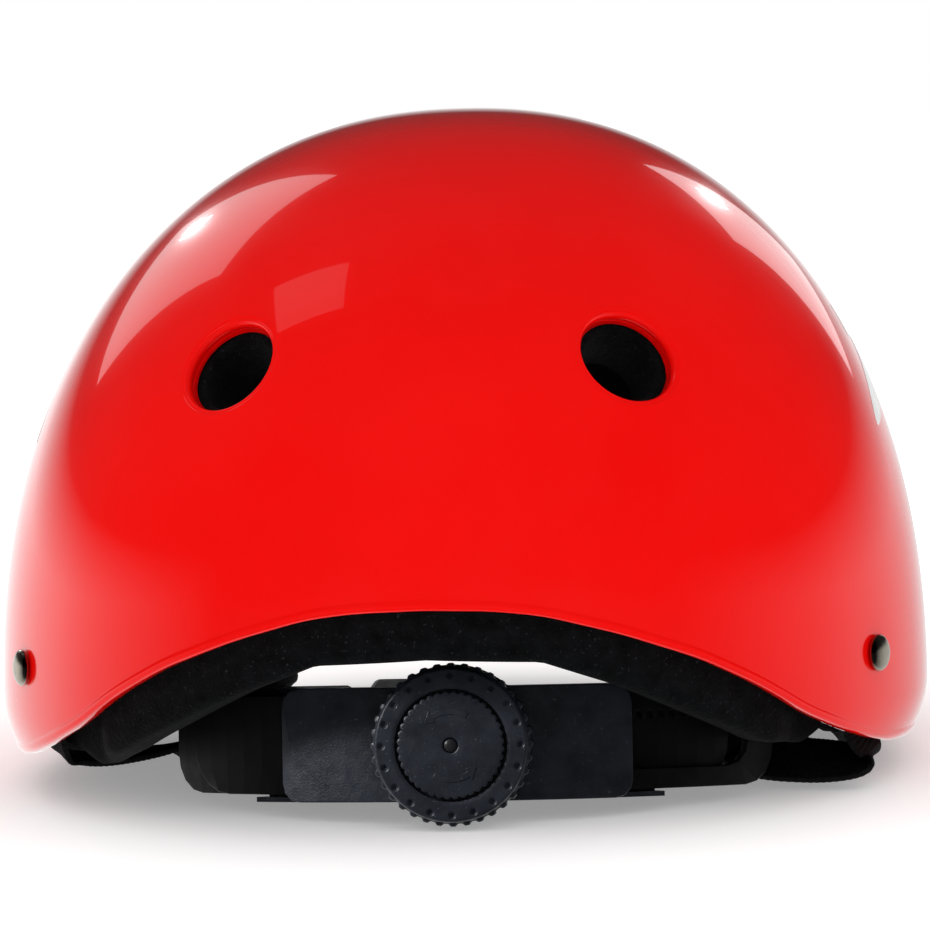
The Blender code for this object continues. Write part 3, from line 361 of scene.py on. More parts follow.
def domed_wall(name, sides, rows, foot, edge, depths, hole, reach, mat, hides):
    """Closed dome with an outer and an inner face, a shaped rim and vents with shaped lips."""
    depth_out, depth_in = depths
    angles = np.arange(sides) * 360.0 / sides - 180.0
    base = phi_at(foot(angles) + edge[0][0])
    t = (np.arange(rows) / rows) ** 1.05
    around = np.tile(angles, rows)
    climb = np.concatenate([base + (PI / 2 - base) * k for k in t])
    faces = rings_to_faces(rows, sides)
    pole = rows * sides
    around = np.append(around, 0.0)
    climb = np.append(climb, PI / 2)
    faces += [((rows - 1) * sides + i, (rows - 1) * sides + (i + 1) % sides, pole) for i in range(sides)]
    place = skin(around, climb)
    radial = [np.full(len(around), -1.0)]
    loops = []
    for angle, z in VENTS:
        for side in (-1, 1):
            spot_frame = vent_frame(side * angle, z)
            _, _, centre, normal, u, v = spot_frame
            off = place[:pole] - centre
            near = np.zeros(len(around), bool)
            near[:pole] = (np.hypot(off @ u, off @ v) < reach) & (np.abs(off @ normal) < 12.0)
            gone = [f for f in faces if any(near[k] for k in f)]
            faces = [f for f in faces if not any(near[k] for k in f)]
            outer = boundary_loop(gone)
            count = VENT_SIDES
            theta = np.arange(count) * 2 * PI / count
            first = len(around)
            for radius, drop in hole:
                a, p = walk(spot_frame, radius * np.cos(theta), radius * np.sin(theta))
                around = np.append(around, a)
                climb = np.append(climb, p)
                radial.append(np.full(count, drop))
            new_rings = rings_to_faces(len(hole), count, first)
            ring_uv = np.stack([hole[0][0] * np.cos(theta), hole[0][0] * np.sin(theta)], -1)
            pts = skin(around[outer], climb[outer]) - centre
            outer_uv = np.stack([pts @ u, pts @ v], -1)
            joint = fill_between(outer_uv, ring_uv)
            ids = outer + [first + k for k in range(count)]
            faces += [tuple(ids[k] for k in tri) for tri in joint]
            faces += new_rings
            place = skin(around, climb)
            loops.append([first + (len(hole) - 1) * count + i for i in range(count)])
    drop = np.concatenate(radial)
    z = place[:, 2]
    out = depth_out(around, z)
    deep = depth_in(around, z)
    extra = np.where(drop > 0, drop, 0.0)
    normal = outward(around, climb)
    outer_pts = place - normal * (out + extra)[:, None]
    inner_pts = place - normal * np.maximum(deep, out + extra + 0.05)[:, None]
    used = sorted({k for f in faces for k in f})
    remap = {k: i for i, k in enumerate(used)}
    n = len(used)
    verts = [outer_pts[used], inner_pts[used]]
    flats = np.array([drop[k] <= 0.0 for k in used])
    custom_out = np.where(flats[:, None], normal[used], 0.0)
    custom_in = np.where(flats[:, None], -normal[used], 0.0)
    quads = [tuple(remap[k] for k in f) for f in faces]
    quads += [tuple(n + remap[k] for k in reversed(f)) for f in faces]
    for loop in loops:
        for a, b in zip(loop, loop[1:] + loop[:1]):
            quads.append((remap[a], remap[b], n + remap[b], n + remap[a]))
    rim_first = 2 * n
    rim_rows = []
    for rise, into in edge[1:-1]:
        phi = phi_at(foot(angles) + rise)
        d0 = depth_out(angles, foot(angles))
        d1 = depth_in(angles, foot(angles))
        depth = np.where(into < 0, d0 + into, d0 + (d1 - d0) * np.maximum(into, 0.0))
        ring = layer(angles, phi, depth)
        ring[:, 2] = foot(angles) + rise
        rim_rows.append(ring)
    verts += rim_rows
    chain = [[remap[i] for i in range(sides)]]
    chain += [[rim_first + r * sides + i for i in range(sides)] for r in range(len(rim_rows))]
    chain.append([n + remap[i] for i in range(sides)])
    for low, high in zip(chain, chain[1:]):
        for i in range(sides):
            j = (i + 1) % sides
            quads.append((low[i], high[i], high[j], low[j]))
    custom = np.vstack([custom_out, custom_in, np.zeros((len(rim_rows) * sides, 3))])
    for ring in (chain[0], chain[-1]):
        custom[ring] = 0.0
    return body_mesh(name, np.vstack(verts), quads, mat, "helmet", hides, custom)


def turned(name, centre, axis, rows, sides, mat, body, hides=(), shape=None, angle=40.0):
    """Solid of revolution; shape(row, angles) may scale each row's radius and shift its height."""
    w = np.asarray(axis, float)
    w = w / np.linalg.norm(w)
    u = np.cross((0.0, 0.0, 1.0), w)
    u = u / np.linalg.norm(u)
    v = np.cross(w, u)
    theta = np.arange(sides) * 2 * PI / sides
    verts, index = [], []
    for k, (h, r) in enumerate(rows):
        if r == 0:
            index.append([len(verts)] * sides)
            verts.append(np.asarray(centre) + w * h)
            continue
        factor, lift = (1.0, 0.0) if shape is None else shape(k, r, theta)
        radius = r * factor * np.ones(sides)
        lift = lift * np.ones(sides)
        index.append(list(range(len(verts), len(verts) + sides)))
        for i in range(sides):
            out = u * math.cos(theta[i]) + v * math.sin(theta[i])
            verts.append(np.asarray(centre) + w * (h + lift[i]) + out * radius[i])
    faces = []
    pairs = list(zip(index, index[1:]))
    if rows[0][1] and rows[-1][1]:
        pairs.append((index[-1], index[0]))
    for low, high in pairs:
        for i in range(sides):
            j = (i + 1) % sides
            face = []
            for k in (low[i], low[j], high[j], high[i]):
                if k not in face:
                    face.append(k)
            if len(face) > 2:
                faces.append(tuple(face))
    return body_mesh(name, verts, faces, mat, body, hides, angle=angle)


# ---------------------------------------------------------------- webbing
def smooth(points, steps):
    pts = np.asarray(points, float)
    pts = np.vstack([2 * pts[0] - pts[1], pts, 2 * pts[-1] - pts[-2]])
    out = []
    for k in range(1, len(pts) - 2):
        p0, p1, p2, p3 = pts[k - 1:k + 3]
        for i in range(steps):
            t = i / steps
            out.append(0.5 * (2 * p1 + (p2 - p0) * t + (2 * p0 - 5 * p1 + 4 * p2 - p3) * t * t
                              + (3 * p1 - p0 - 3 * p2 + p3) * t ** 3))
    out.append(pts[-2])
    return np.array(out)


def webbing(name, stations, width, mat, body, hides):
    """Flat woven strap with raised cross ribs and rolled selvedges."""
    rows = smooth(stations, 3)
    gaps = np.linalg.norm(np.diff(rows[:, :3], axis=0), axis=1)
    along = np.concatenate([[0.0], np.cumsum(gaps)])
    count = int(along[-1] / RIB_PITCH * RIB_STEPS)
    s = np.linspace(0.0, along[-1], count)
    rows = np.stack([np.interp(s, along, rows[:, k]) for k in range(6)], -1)
    for _ in range(60):
        rows[1:-1] = rows[1:-1] * 0.5 + (rows[:-2] + rows[2:]) * 0.25
    path = rows[:, :3]
    tangent = np.gradient(path, axis=0)
    tangent /= np.linalg.norm(tangent, axis=1, keepdims=True)
    across = rows[:, 3:6]
    across = across - tangent * np.sum(across * tangent, axis=1, keepdims=True)
    across /= np.linalg.norm(across, axis=1, keepdims=True)
    face = np.cross(tangent, across)
    rib = -RIB_HEIGHT * (0.5 + 0.5 * np.cos(2 * PI * s / RIB_PITCH))
    half, thick = width / 2, WEB_THICK / 2
    section = []
    for k in np.linspace(-1, 1, 13):
        section.append((k * (half - 0.35), thick - (0.10 if abs(k) > 0.82 else 0.0), 1.0))
    section.append((half, 0.0, 0.6))
    for k in np.linspace(1, -1, 13):
        section.append((k * (half - 0.35), -thick + (0.10 if abs(k) > 0.82 else 0.0), -1.0))
    section.append((-half, 0.0, 0.6))
    m = len(section)
    verts, uvs = [], []
    for i in range(count):
        for k, (x, y, which) in enumerate(section):
            lift = rib[i] * (1.0 if which > 0.9 else -1.0) if abs(which) == 1.0 else 0.0
            push = rib[i] * math.copysign(1.0, x) * 0.9 if abs(which) != 1.0 else 0.0
            verts.append(path[i] + across[i] * (x + push) + face[i] * (y + lift))
            uvs.append((x / 10.0, s[i] / 10.0))
    faces = rings_to_faces(count, m)
    faces.append(tuple(range(m)))
    faces.append(tuple((count - 1) * m + k for k in reversed(range(m))))
    return body_mesh(name, verts, faces, mat, body, hides, uvs=uvs, angle=60.0)


def in_channel(angle, z, depth=WEB_LAYER):
    phi = phi_at(z)
    across = (skin(angle + 1.0, phi) - skin(angle - 1.0, phi)) * math.copysign(1.0, angle)
    return (*layer(angle, phi, depth), *(across / np.linalg.norm(across)))


def strap_stations(side):
    cx, cy, cz = DIVIDER_CENTRE
    dy = DIVIDER_SIZE[1] / 2
    rear = [in_channel(side * 62.5, 41.0), in_channel(side * 63.0, 30.5), in_channel(side * 64.0, 21.0, 6.1),
            in_channel(side * 65.0, 14.5, 6.4)]
    if side > 0:
        rear += [(92.0, -60.2, 9.7, 0.3, 0.95, 0.0), (94.4, -60.2, 7.3, 0.2, 0.97, 0.1),
                 (92.6, -60.4, 5.5, 0.1, 0.95, 0.22), (84.0, -60.6, 5.3, 0.05, 0.88, 0.42),
                 (74.0, -58.0, 5.8, -0.3, 0.85, 0.38), (62.0, -46.0, 7.4, -0.7, 0.7, 0.0),
                 (51.0, -25.0, 8.4, -0.95, 0.3, 0.0), (cx, -9.0, cz, -1.0, 0.0, 0.0),
                 (cx, -3.5, cz, -1.0, 0.0, 0.0)]
    else:
        rear += [(-90.2, -56.6, 10.2, -0.35, 0.93, 0.0), (-87.0, -54.0, 7.9, -0.3, 0.95, 0.0),
                 (-81.5, -50.5, 7.0, -0.2, 0.98, 0.0), (-72.0, -43.0, 7.2, 0.3, 0.95, 0.0),
                 (-58.0, -28.0, 8.2, 0.7, 0.7, 0.0), (-cx, -9.0, cz, 1.0, 0.0, 0.0),
                 (-cx, -3.5, cz, 1.0, 0.0, 0.0)]
    rear.append((side * cx, cy - dy + POCKET_REACH, cz, -1.0 if side > 0 else 1.0, 0.0, 0.0))
    front = [in_channel(side * 118.5, 41.0), in_channel(side * 118.0, 30.0),
             in_channel(side * 118.0, 22.0, 5.7), in_channel(side * 118.0, 15.5, 6.2),
             (side * 88.6, 46.0, 10.9, side * -0.3, 0.95, 0.0),
             (side * 86.0, 45.6, 8.6, side * -0.25, 0.97, 0.0),
             (side * 81.5, 45.3, 7.4, side * -0.1, 1.0, 0.0), (side * 75.5, 45.2, 7.1, 0.0, 1.0, 0.0),
             (side * 65.0, 45.5, 7.6, side * 0.15, 0.98, 0.0),
             (side * 54.0, 42.0, 8.6, side * 0.65, 0.75, 0.0),
             (side * cx, 37.5, cz, side * 1.0, 0.0, 0.0), (side * cx, 33.0, cz, side * 1.0, 0.0, 0.0),
             (side * cx, cy + dy - POCKET_REACH, cz, side * 1.0, 0.0, 0.0)]
    return rear, front


def tilted(x, y, z):
    c, s = math.cos(BAND_TILT), math.sin(BAND_TILT)
    bx, by, bz = BAND_CENTRE
    return np.array([bx + x, by + y * c + z * s, bz - y * s + z * c])


# ---------------------------------------------------------------- finishes
def finishes():
    """Every material of the helmet, by a short name."""
    return {
        "red": finish_of(
            "gloss_red_shell", (0.83, 0.0018, 0.0010), (0.87, 0.0030, 0.0018), (0.16, 0.22), 18.0,
            [(60.0, 0.05, 0.02)], coat=1.0, coat_rough=0.02, specular=0.1),
        "foam": finish_of(
            "fuzzy_black_foam", (0.0012, 0.0014, 0.0017), (0.0042, 0.0048, 0.0056), (0.92, 1.0), 260.0,
            [(900.0, 0.9, 0.5), (2600.0, 0.6, 0.2)], sheen=0.02, specular=0.08,
            spots=(1500.0, (0.016, 0.017, 0.020), 0.68)),
        "fleece": finish_of(
            "black_fleece", (0.004, 0.004, 0.005), (0.010, 0.010, 0.012), (0.9, 1.0), 400.0,
            [(500.0, 0.9, 0.8), (1800.0, 0.7, 0.3)], sheen=0.06, specular=0.1),
        "weave": finish_of(
            "black_webbing", (0.0030, 0.0030, 0.0036), (0.0080, 0.0080, 0.0094), (0.75, 0.9), 500.0,
            [(2500.0, 0.5, 0.1)], specular=0.12, ribs=(2.4, 2.6)),
        "hard": finish_of(
            "black_hardware", (0.005, 0.005, 0.006), (0.010, 0.010, 0.012), (0.32, 0.45), 120.0,
            [(1400.0, 0.35, 0.05)], specular=0.3),
        "housing": finish_of(
            "textured_adjuster", (0.0062, 0.0076, 0.0115), (0.0125, 0.0150, 0.0220), (0.32, 0.45), 160.0,
            [(2200.0, 0.7, 0.10)], specular=0.3, spots=(1700.0, (0.030, 0.034, 0.045), 0.70)),
        "arm": finish_of(
            "satin_black_arm", (0.0012, 0.0013, 0.0018), (0.0032, 0.0033, 0.0042), (0.38, 0.5), 140.0,
            [(1200.0, 0.3, 0.05)], specular=0.25),
        "nickel": finish_of(
            "plated_rivet", (0.36, 0.33, 0.27), (0.52, 0.48, 0.40), (0.16, 0.26), 300.0,
            [(700.0, 0.15, 0.05)], metallic=1.0),
        "steel": finish_of(
            "steel_washer", (0.42, 0.42, 0.42), (0.55, 0.55, 0.55), (0.25, 0.4), 300.0,
            [(900.0, 0.2, 0.04)], metallic=1.0),
        "print": finish_of(
            "white_print", (0.78, 0.78, 0.77), (0.86, 0.86, 0.85), (0.2, 0.28), 90.0,
            [(300.0, 0.05, 0.02)], coat=0.6)}


# ---------------------------------------------------------------- pieces
def shell_and_liner(red, foam):
    """Outer shell and foam liner with their rolled edges and vents."""
    shell_edge = [(4.2, 0.0), (3.2, 0.0), (2.5, 0.0), (2.25, -0.01), (2.0, -0.16), (1.5, -0.30),
                  (1.0, -0.30), (0.5, -0.18), (0.12, 0.06), (0.0, 0.2), (0.0, 0.45), (0.05, 0.7),
                  (0.3, 0.9), (0.8, 1.0), (4.2, 1.0)]
    vent_lip = [(15.6, 0.0), (14.4, 0.0), (13.4, 0.0), (12.7, 0.0), (12.45, 0.02), (12.2, 0.12),
                (12.0, 0.22), (11.8, 0.20), (11.6, 0.14), (11.4, 0.2), (11.2, 0.42), (11.0, 0.75),
                (10.85, 1.1), (10.8, 1.45), (10.9, 1.85), (11.2, 2.35), (11.6, 2.9), (11.8, 3.5)]
    domed_wall("outer_shell_skin", 300, 84, rim_height, shell_edge,
               (lambda a, z: np.zeros(len(a)), lambda a, z: np.full(len(a), SHELL_WALL)),
               vent_lip, 17.6, red, ("outer_shell",))
    foam_edge = [(5.0, 0.0), (3.4, 0.0), (2.0, 0.015), (1.0, 0.05), (0.4, 0.10), (0.1, 0.17),
                 (0.0, 0.26), (0.0, 0.5), (0.0, 0.74), (0.1, 0.83), (0.4, 0.9), (1.0, 0.95),
                 (2.0, 0.985), (3.4, 1.0), (5.0, 1.0)]
    bore = [(13.0, 0.0), (11.5, 0.0), (10.4, 0.0), (9.7, 0.15), (9.35, 0.5), (9.2, 1.0)]
    liner = domed_wall("foam_liner_skin", 300, 70, lip_height, foam_edge,
                       (liner_depth, lambda a, z: np.full(len(a), LINER_INNER)), bore, 15.2, foam,
                       ("foam_liner",))


def rivets(nickel):
    """Domed strap rivets with their shanks and tails."""
    rows = [(-8.8, 0), (-8.8, 2.6), (-8.6, 3.1), (-8.3, 3.38), (-7.9, 3.4), (-7.8, 3.3), (-7.8, 1.8),
            (0.36, 1.8), (0.36, 3.75), (0.42, 3.98), (0.6, 4.09), (0.8, 4.08)]
    rows += [(0.8 + 1.75 * math.sin(k), 4.08 * math.cos(k)) for k in np.linspace(0.14, 1.45, 12)]
    rows.append((2.55, 0))
    for where, (angle, z) in RIVETS.items():
        for word, side in (("left", -1), ("right", 1)):
            phi = phi_at(z)
            point, normal = skin(side * angle, phi), outward(side * angle, phi)
            turned("rivet_%s_%s_dome" % (where, word), point, normal, rows, 64, nickel, "helmet",
                   ("rivet_%s_%s" % (where, word),))


def harness(weave):
    """Side straps, then the two halves of the chin strap along the middle of their solids."""
    for word, side in (("left", -1), ("right", 1)):
        rear, front = strap_stations(side)
        webbing("webbing_rear_" + word, rear, WEB_WIDTH, weave, "helmet", ("strap_rear_" + word,))
        webbing("webbing_front_" + word, front, WEB_WIDTH, weave, "helmet", ("strap_front_" + word,))
    for word, body in (("left", "helmet"), ("right", "buckle_plug")):
        low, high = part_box("chin_strap_" + word)
        cy, cz = (low.y + high.y) / 2 / MM, (low.z + high.z) / 2 / MM
        line = [(x, cy, cz, 0.0, 1.0, 0.0) for x in np.linspace(low.x / MM, high.x / MM, 5)]
        webbing("webbing_chin_" + word, line, 2 * CHIN_HALF_WIDTH, weave, body, ("chin_strap_" + word,))


def carried_over(nodes, mats):
    """Hard parts that keep their solids: a finish each, and softened edges where they show."""
    looks = {"cradle_back": "housing", "cradle_cover": "housing", "dial_seat": "housing",
             "detent_ring": "hard", "anchor_left": "hard", "anchor_right": "hard", "pinion": "hard",
             "arm_left": "arm", "arm_right": "arm", "divider_left": "hard", "divider_right": "hard",
             "buckle_socket": "hard", "buckle_plug": "hard", "dial_screw": "steel"}
    for where in RIVETS:
        for word in ("left", "right"):
            looks["washer_%s_%s" % (where, word)] = "steel"
    soft_edge = {"cradle_back": 0.3, "cradle_cover": 0.35, "arm_left": 0.25, "arm_right": 0.25,
                 "dial_seat": 0.2, "divider_left": 0.2, "divider_right": 0.2, "buckle_socket": 0.2,
                 "buckle_plug": 0.35}
    for node, look in looks.items():
        obj = nodes[node]
        for slot in obj.material_slots:
            slot.material = mats[look]
        if node in soft_edge:
            weld = obj.modifiers.new("weld", "WELD")
            weld.merge_threshold = 0.00001
            bevel = obj.modifiers.new("edge", "BEVEL")
            bevel.width = soft_edge[node] * MM
            bevel.segments = 3
            bevel.limit_method = "ANGLE"
            bevel.angle_limit = math.radians(40.0)
            bevel.harden_normals = False


def swollen_pad(node, source, mat):
    """Fleece pad: the plain solid remeshed, puffed up like a sewn cover and smoothed."""
    pad = source.copy()
    pad.data = source.data.copy()
    for key in list(pad.keys()):
        del pad[key]
    pad.parent = None
    pad.name = node + "_fleece"
    bpy.context.scene.collection.objects.link(pad)
    mesh = pad.data
    bm = bmesh.new()
    bm.from_mesh(mesh)
    bmesh.ops.remove_doubles(bm, verts=bm.verts, dist=1e-5)
    bm.to_mesh(mesh)
    bm.free()
    remesh = pad.modifiers.new("remesh", "REMESH")
    remesh.mode = "VOXEL"
    remesh.voxel_size = PAD_VOXEL * MM
    bpy.context.view_layer.objects.active = pad
    bpy.ops.object.select_all(action="DESELECT")
    pad.select_set(True)
    bpy.ops.object.modifier_apply(modifier=remesh.name)
    before = np.array([v.co for v in pad.data.vertices])
    cloth = pad.modifiers.new("cloth", "CLOTH")
    cloth.settings.use_pressure = True
    cloth.settings.uniform_pressure_force = PAD_PRESSURE
    cloth.settings.effector_weights.gravity = 0.0
    for number in range(1, PAD_FRAMES + 1):
        bpy.context.scene.frame_set(number)
    graph = bpy.context.evaluated_depsgraph_get()
    after = np.array([v.co for v in pad.evaluated_get(graph).data.vertices])
    pad.modifiers.remove(cloth)
    bpy.context.scene.frame_set(1)
    move = after - before
    size = np.linalg.norm(move, axis=1, keepdims=True)
    move = move * np.minimum(1.0, PAD_PUFF * MM / np.maximum(size, 1e-9))
    pad.data.vertices.foreach_set("co", (before + move).ravel())
    bm = bmesh.new()
    bm.from_mesh(pad.data)
    for _ in range(PAD_SMOOTHING):
        bmesh.ops.smooth_vert(bm, verts=bm.verts, factor=0.5,
                              use_axis_x=True, use_axis_y=True, use_axis_z=True)
    bm.to_mesh(pad.data)
    bm.free()
    pad.data.shade_smooth()
    pad.data.materials.clear()
    pad.data.materials.append(mat)
    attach(pad, "helmet")
    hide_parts(node)
    return pad


def dial(housing, hard):
    """Knurled dial with its dimpled face, scalloped cap, turning arrows and centre pip."""
    axis = tilted(0.0, -1.0, 0.0) - tilted(0.0, 0.0, 0.0)
    hub = tilted(0.0, -DIAL_BACK, 0.0)
    top = DIAL_FACE - DIAL_BACK

    def knob_shape(k, r, theta):
        factor, lift = np.ones(len(theta)), np.zeros(len(theta))
        if knob_rows[k][1] > 17.0:
            lobe = np.clip(np.cos(KNURLS * theta) * 1.6, -1.0, 1.0) * 0.5 + 0.5
            factor = (r - KNURL_DEPTH + KNURL_DEPTH * lobe) / r
        if 13.9 < r < 16.2 and knob_rows[k][0] > 5.0:
            pitch = 2 * PI / DIMPLES
            off = (theta + pitch / 2) % pitch - pitch / 2
            distance = np.hypot(off * DIMPLE_CIRCLE, r - DIMPLE_CIRCLE)
            t = np.clip(distance / DIMPLE_RADIUS, 0.0, 1.0)
            lift = -DIMPLE_DEPTH * (1 - t * t) ** 2
        return factor, lift

    knob_rows = [(0.0, 3.95), (0.0, 15.8), (0.12, 16.2), (0.5, 17.35), (0.8, 17.6), (1.6, 17.6),
                 (2.6, 17.6), (3.3, 17.6), (3.7, 17.5), (3.95, 17.1), (4.05, 16.7), (4.2, 16.62),
                 (5.0, 16.62), (5.35, 16.56), (5.6, 16.42), (5.78, 16.25), (5.9, 16.12)]
    knob_rows += [(5.93 + 0.01 * k, 16.05 - 0.15 * k) for k in range(15)]
    knob_rows += [(top, 13.2), (top, 12.2), (top - 0.1, 12.1), (top - 2.0, 12.1), (top - 2.0, 3.95)]
    turned("dial_knob_body", hub, axis, knob_rows, DIAL_SIDES, housing, "dial", ("dial_knob",),
           knob_shape, 50.0)

    def cap_shape(k, r, theta):
        factor = np.ones(len(theta))
        if cap_rows[k][1] > 11.0:
            scallop = np.abs(np.sin(CAP_SCALLOPS * theta))
            factor = (r - SCALLOP_DEPTH * (1 - scallop)) / r
        return factor, np.zeros(len(theta))

    high = CAP_TOP - DIAL_BACK
    cap_rows = [(4.4, 1.6), (4.4, 11.3), (4.5, 11.6), (high - 0.75, 11.6), (high - 0.55, 11.52),
                (high - 0.42, 11.3), (high - 0.36, 11.0), (high - 0.32, 10.4), (high - 0.2, 9.0),
                (high - 0.1, 7.0), (high - 0.04, 5.0), (high - 0.02, 3.4), (high - 0.02, 2.0),
                (high - 0.08, 1.8), (high - 0.2, 1.65), (high - 1.0, 1.6)]
    turned("dial_cap_disc", hub, axis, cap_rows, DIAL_SIDES, housing, "dial", ("dial_cap",),
           cap_shape, 50.0)
    pip_rows = [(high - 2.0, 0), (high - 2.0, 1.45), (high - 0.45, 1.45), (high - 0.25, 1.35),
                (high - 0.1, 1.1), (high + 0.02, 0.8), (high + 0.08, 0.4), (high + 0.1, 0)]
    turned("dial_screw_pip", hub, axis, pip_rows, 48, hard, "dial", ("dial_screw",))

    u = tilted(1.0, 0.0, 0.0) - tilted(0.0, 0.0, 0.0)
    v = tilted(0.0, 0.0, 1.0) - tilted(0.0, 0.0, 0.0)
    for word, start, stop in (("upper", 60.0, 122.0), ("lower", 240.0, 302.0)):
        steps = np.radians(np.linspace(start, stop, 40))
        outline = [(7.9 * math.cos(a), 7.9 * math.sin(a)) for a in steps]
        tip = steps[-1]
        outline += [(8.7 * math.cos(tip), 8.7 * math.sin(tip)),
                    (7.2 * math.cos(tip + 0.32), 7.2 * math.sin(tip + 0.32)),
                    (5.8 * math.cos(tip), 5.8 * math.sin(tip))]
        outline += [(6.6 * math.cos(a), 6.6 * math.sin(a)) for a in reversed(steps)]
        verts = []
        for lift in (high - 0.3, high + 0.02):
            for x, y in outline:
                verts.append(hub + u * x + v * y + axis * (lift + 0.02 * (8.0 - math.hypot(x, y))))
        n = len(outline)
        faces = [tuple(reversed(range(n))), tuple(range(n, 2 * n))]
        faces += [(i, (i + 1) % n, n + (i + 1) % n, n + i) for i in range(n)]
        arrow = body_mesh("dial_arrow_" + word, verts, faces, housing, "dial", angle=30.0)
        bevel = arrow.modifiers.new("edge", "BEVEL")
        bevel.width = 0.1 * MM
        bevel.segments = 2
        bevel.limit_method = "ANGLE"


def side_prints(mat):
    """Plain white tapered stripes printed on both sides of the shell."""
    stripes = [((78.0, 96.0), (79.1, 94.2), 6.0), ((104.0, 97.0), (89.0, 87.6), 3.0)]
    for word, side in (("left", -1), ("right", 1)):
        for number, ((z0, z1), (a0, a1), half) in enumerate(stripes):
            t = np.linspace(0.0, 1.0, 60)
            centre_z = z0 + (z1 - z0) * t
            centre_a = a0 + (a1 - a0) * t + 1.2 * np.sin(PI * t)
            taper = np.sin(PI * np.clip(t, 0.015, 0.985)) ** 0.6 * half
            verts, faces = [], []
            across = np.linspace(-1, 1, 9)
            for depth in (-0.09, 0.15):
                for i in range(len(t)):
                    a = centre_a[i] + across * taper[i] * 0.55
                    z = centre_z[i] - across * taper[i] * 0.25
                    verts += list(layer(side * a, phi_at(z), np.full(9, depth)))
            size = len(t) * 9
            for i in range(len(t) - 1):
                for k in range(8):
                    p = i * 9 + k
                    faces.append((p, p + 1, p + 10, p + 9))
                    faces.append((size + p, size + p + 9, size + p + 10, size + p + 1))
            edge = list(range(9)) + [i * 9 + 8 for i in range(1, len(t))]
            edge += [(len(t) - 1) * 9 + k for k in range(7, -1, -1)]
            edge += [i * 9 for i in range(len(t) - 2, 0, -1)]
            faces += [(a, b, size + b, size + a) for a, b in zip(edge, edge[1:] + edge[:1])]
            body_mesh("side_print_%s_%d" % (word, number), verts, faces, mat, "helmet")


def aim(obj, place, target):
    obj.location = place
    obj.rotation_euler = (Vector(target) - Vector(place)).to_track_quat("-Z", "Y").to_euler()


def joined(tree, operation, a, b):
    node = tree.nodes.new("ShaderNodeMath")
    node.operation = operation
    tree.links.new(a, node.inputs[0])
    tree.links.new(b, node.inputs[1])
    return node.outputs[0]


def choice(tree, switch, off, on):
    """Value off or on, by a 0 to 1 switch; on is white where it isn't given."""
    node = tree.nodes.new("ShaderNodeMix")
    tree.links.new(switch, node.inputs[0])
    tree.links.new(off, node.inputs[2])
    if on is None:
        node.inputs[3].default_value = 1.0
    else:
        tree.links.new(on, node.inputs[3])
    return node.outputs[0]


def panel(name, azimuth, elevation, distance, size, watts):
    """Softbox at a direction given as degrees from the rear and above the floor."""
    a, e = math.radians(azimuth), math.radians(elevation)
    light = bpy.data.lights.new(name, "AREA")
    light.shape = "RECTANGLE"
    light.size, light.size_y = size
    light.energy = watts
    obj = bpy.data.objects.new(name, light)
    bpy.context.scene.collection.objects.link(obj)
    aim(obj, (distance * math.sin(a) * math.cos(e), -distance * math.cos(a) * math.cos(e),
              AIM_HEIGHT + distance * math.sin(e)), (0, 0, AIM_HEIGHT))
    obj.visible_camera = False
    return obj


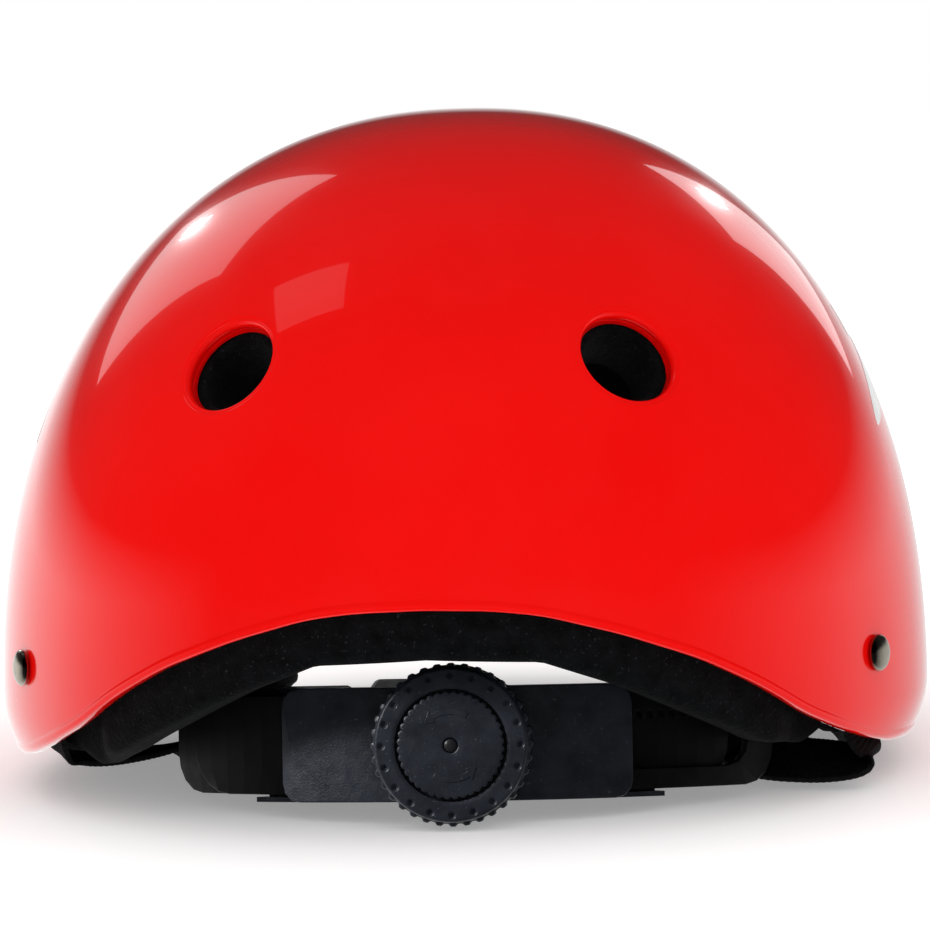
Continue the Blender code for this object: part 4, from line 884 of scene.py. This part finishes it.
def studio():
    scene = bpy.context.scene
    scene.view_settings.view_transform = "Standard"
    scene.view_settings.look = "None"

    a, e, roll = (math.radians(k) for k in (CAMERA_AZIMUTH, CAMERA_ELEVATION, CAMERA_ROLL))
    back = Vector((math.sin(a) * math.cos(e), -math.cos(a) * math.cos(e), math.sin(e)))
    right = Vector((math.cos(a), math.sin(a), 0.0))
    up = back.cross(right)
    c, s = math.cos(roll), math.sin(roll)
    right, up = right * c + up * s, up * c - right * s
    place = Vector((0, 0, AIM_HEIGHT)) + back * CAMERA_DISTANCE
    cam = bpy.data.cameras.new("camera")
    cam.sensor_width = CAMERA_SENSOR
    cam.lens = CAMERA_LENS
    cam.shift_x, cam.shift_y = CAMERA_SHIFT
    cam.clip_start, cam.clip_end = 0.05, 50.0
    obj = bpy.data.objects.new("camera", cam)
    rows = [(right[k], up[k], back[k], place[k]) for k in range(3)]
    obj.matrix_world = Matrix((*rows, (0, 0, 0, 1)))
    scene.collection.objects.link(obj)
    scene.camera = obj

    # pale floor
    mesh = bpy.data.meshes.new("floor")
    turns = [2 * PI * i / FLOOR_SIDES for i in range(FLOOR_SIDES)]
    ring = [(FLOOR_RADIUS * math.cos(k), FLOOR_RADIUS * math.sin(k), -FLOOR_DROP) for k in turns]
    mesh.from_pydata(ring, [], [tuple(range(FLOOR_SIDES))])
    floor = bpy.data.objects.new("floor", mesh)
    scene.collection.objects.link(floor)
    pale = finish_of("pale_floor", (0.86, 0.86, 0.86), (0.88, 0.88, 0.88), (0.8, 0.9), 2.0, [], specular=0.1)
    glow = pale.node_tree
    place_at = glow.nodes.new("ShaderNodeTexCoord")
    length = glow.nodes.new("ShaderNodeVectorMath")
    length.operation = "LENGTH"
    glow.links.new(place_at.outputs["Object"], length.inputs[0])
    bsdf = glow.nodes["Principled BSDF"]
    bsdf.inputs["Emission Color"].default_value = (1.0, 1.0, 1.0, 1.0)
    fade = span(glow, length.outputs["Value"], 0.12, 0.45, 0.28, 1.0)
    glow.links.new(fade, bsdf.inputs["Emission Strength"])
    mesh.materials.append(pale)
    floor.visible_glossy = False

    # world: an even dome for the matt light, a white sweep for the gloss, white behind everything
    world = bpy.data.worlds.new("studio")
    scene.world = world
    world.use_nodes = True
    world.cycles.sampling_method = "NONE"
    tree = world.node_tree
    backdrop = tree.nodes["Background"]
    coord = tree.nodes.new("ShaderNodeTexCoord")
    split = tree.nodes.new("ShaderNodeSeparateXYZ")
    tree.links.new(coord.outputs["Generated"], split.inputs["Vector"])
    around = joined(tree, "MULTIPLY", span(tree, split.outputs["Y"], -0.50, 0.45, 0.015, 1.1),
                    span(tree, split.outputs["X"], -0.3, 0.5, 1.0, 0.6))
    above = span(tree, split.outputs["Z"], 0.02, 0.18, 1.0, 0.04)
    sweep = joined(tree, "MULTIPLY", around, above)
    dome = joined(tree, "ADD", span(tree, split.outputs["Y"], -1.0, 1.0, 0.79, 0.55),
                  span(tree, split.outputs["Z"], 0.0, 1.0, 0.0, 0.32))
    path = tree.nodes.new("ShaderNodeLightPath")
    lit = choice(tree, path.outputs["Is Glossy Ray"], dome, sweep)
    strength = choice(tree, path.outputs["Is Camera Ray"], lit, None)
    tree.links.new(strength, backdrop.inputs["Strength"])
    backdrop.inputs["Color"].default_value = (1.0, 1.0, 1.0, 1.0)

    panel("softbox_left", -144.0, 29.0, LAMP_DISTANCE, (0.75, 0.8), 1.6)
    panel("softbox_right", 160.0, 17.0, LAMP_DISTANCE, (0.45, 0.6), 0.9)
    panel("spot_left", -152.0, 22.0, LAMP_DISTANCE, (0.06, 0.10), 0.8)
    panel("spot_right", 164.0, 20.0, LAMP_DISTANCE, (0.06, 0.08), 0.6)
    panel("softbox_top", -100.0, 62.0, LAMP_DISTANCE, (0.45, 0.45), 0.25)
    # a lamp of the dial's own, so that its dimples and knurls read
    key = panel("softbox_dial", -55.0, 24.0, DIAL_LAMP_DISTANCE, (0.14, 0.14), 7.0)
    group = bpy.data.collections.new("dial_light")
    for name in ("dial_knob_body", "dial_cap_disc", "dial_screw_pip", "dial_arrow_upper", "dial_arrow_lower",
                 "cradle_cover"):
        group.objects.link(bpy.data.objects[name])
    key.light_linking.receiver_collection = group


# ---------------------------------------------------------------- scene
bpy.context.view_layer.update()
mats = finishes()
shell_and_liner(mats["red"], mats["foam"])
for pad_node in ("crown_pad", "brow_pad", "nape_pad"):
    swollen_pad(pad_node, nodes[pad_node], mats["fleece"])
rivets(mats["nickel"])
harness(mats["weave"])
dial(mats["housing"], mats["hard"])
carried_over(nodes, mats)
side_prints(mats["print"])
studio()
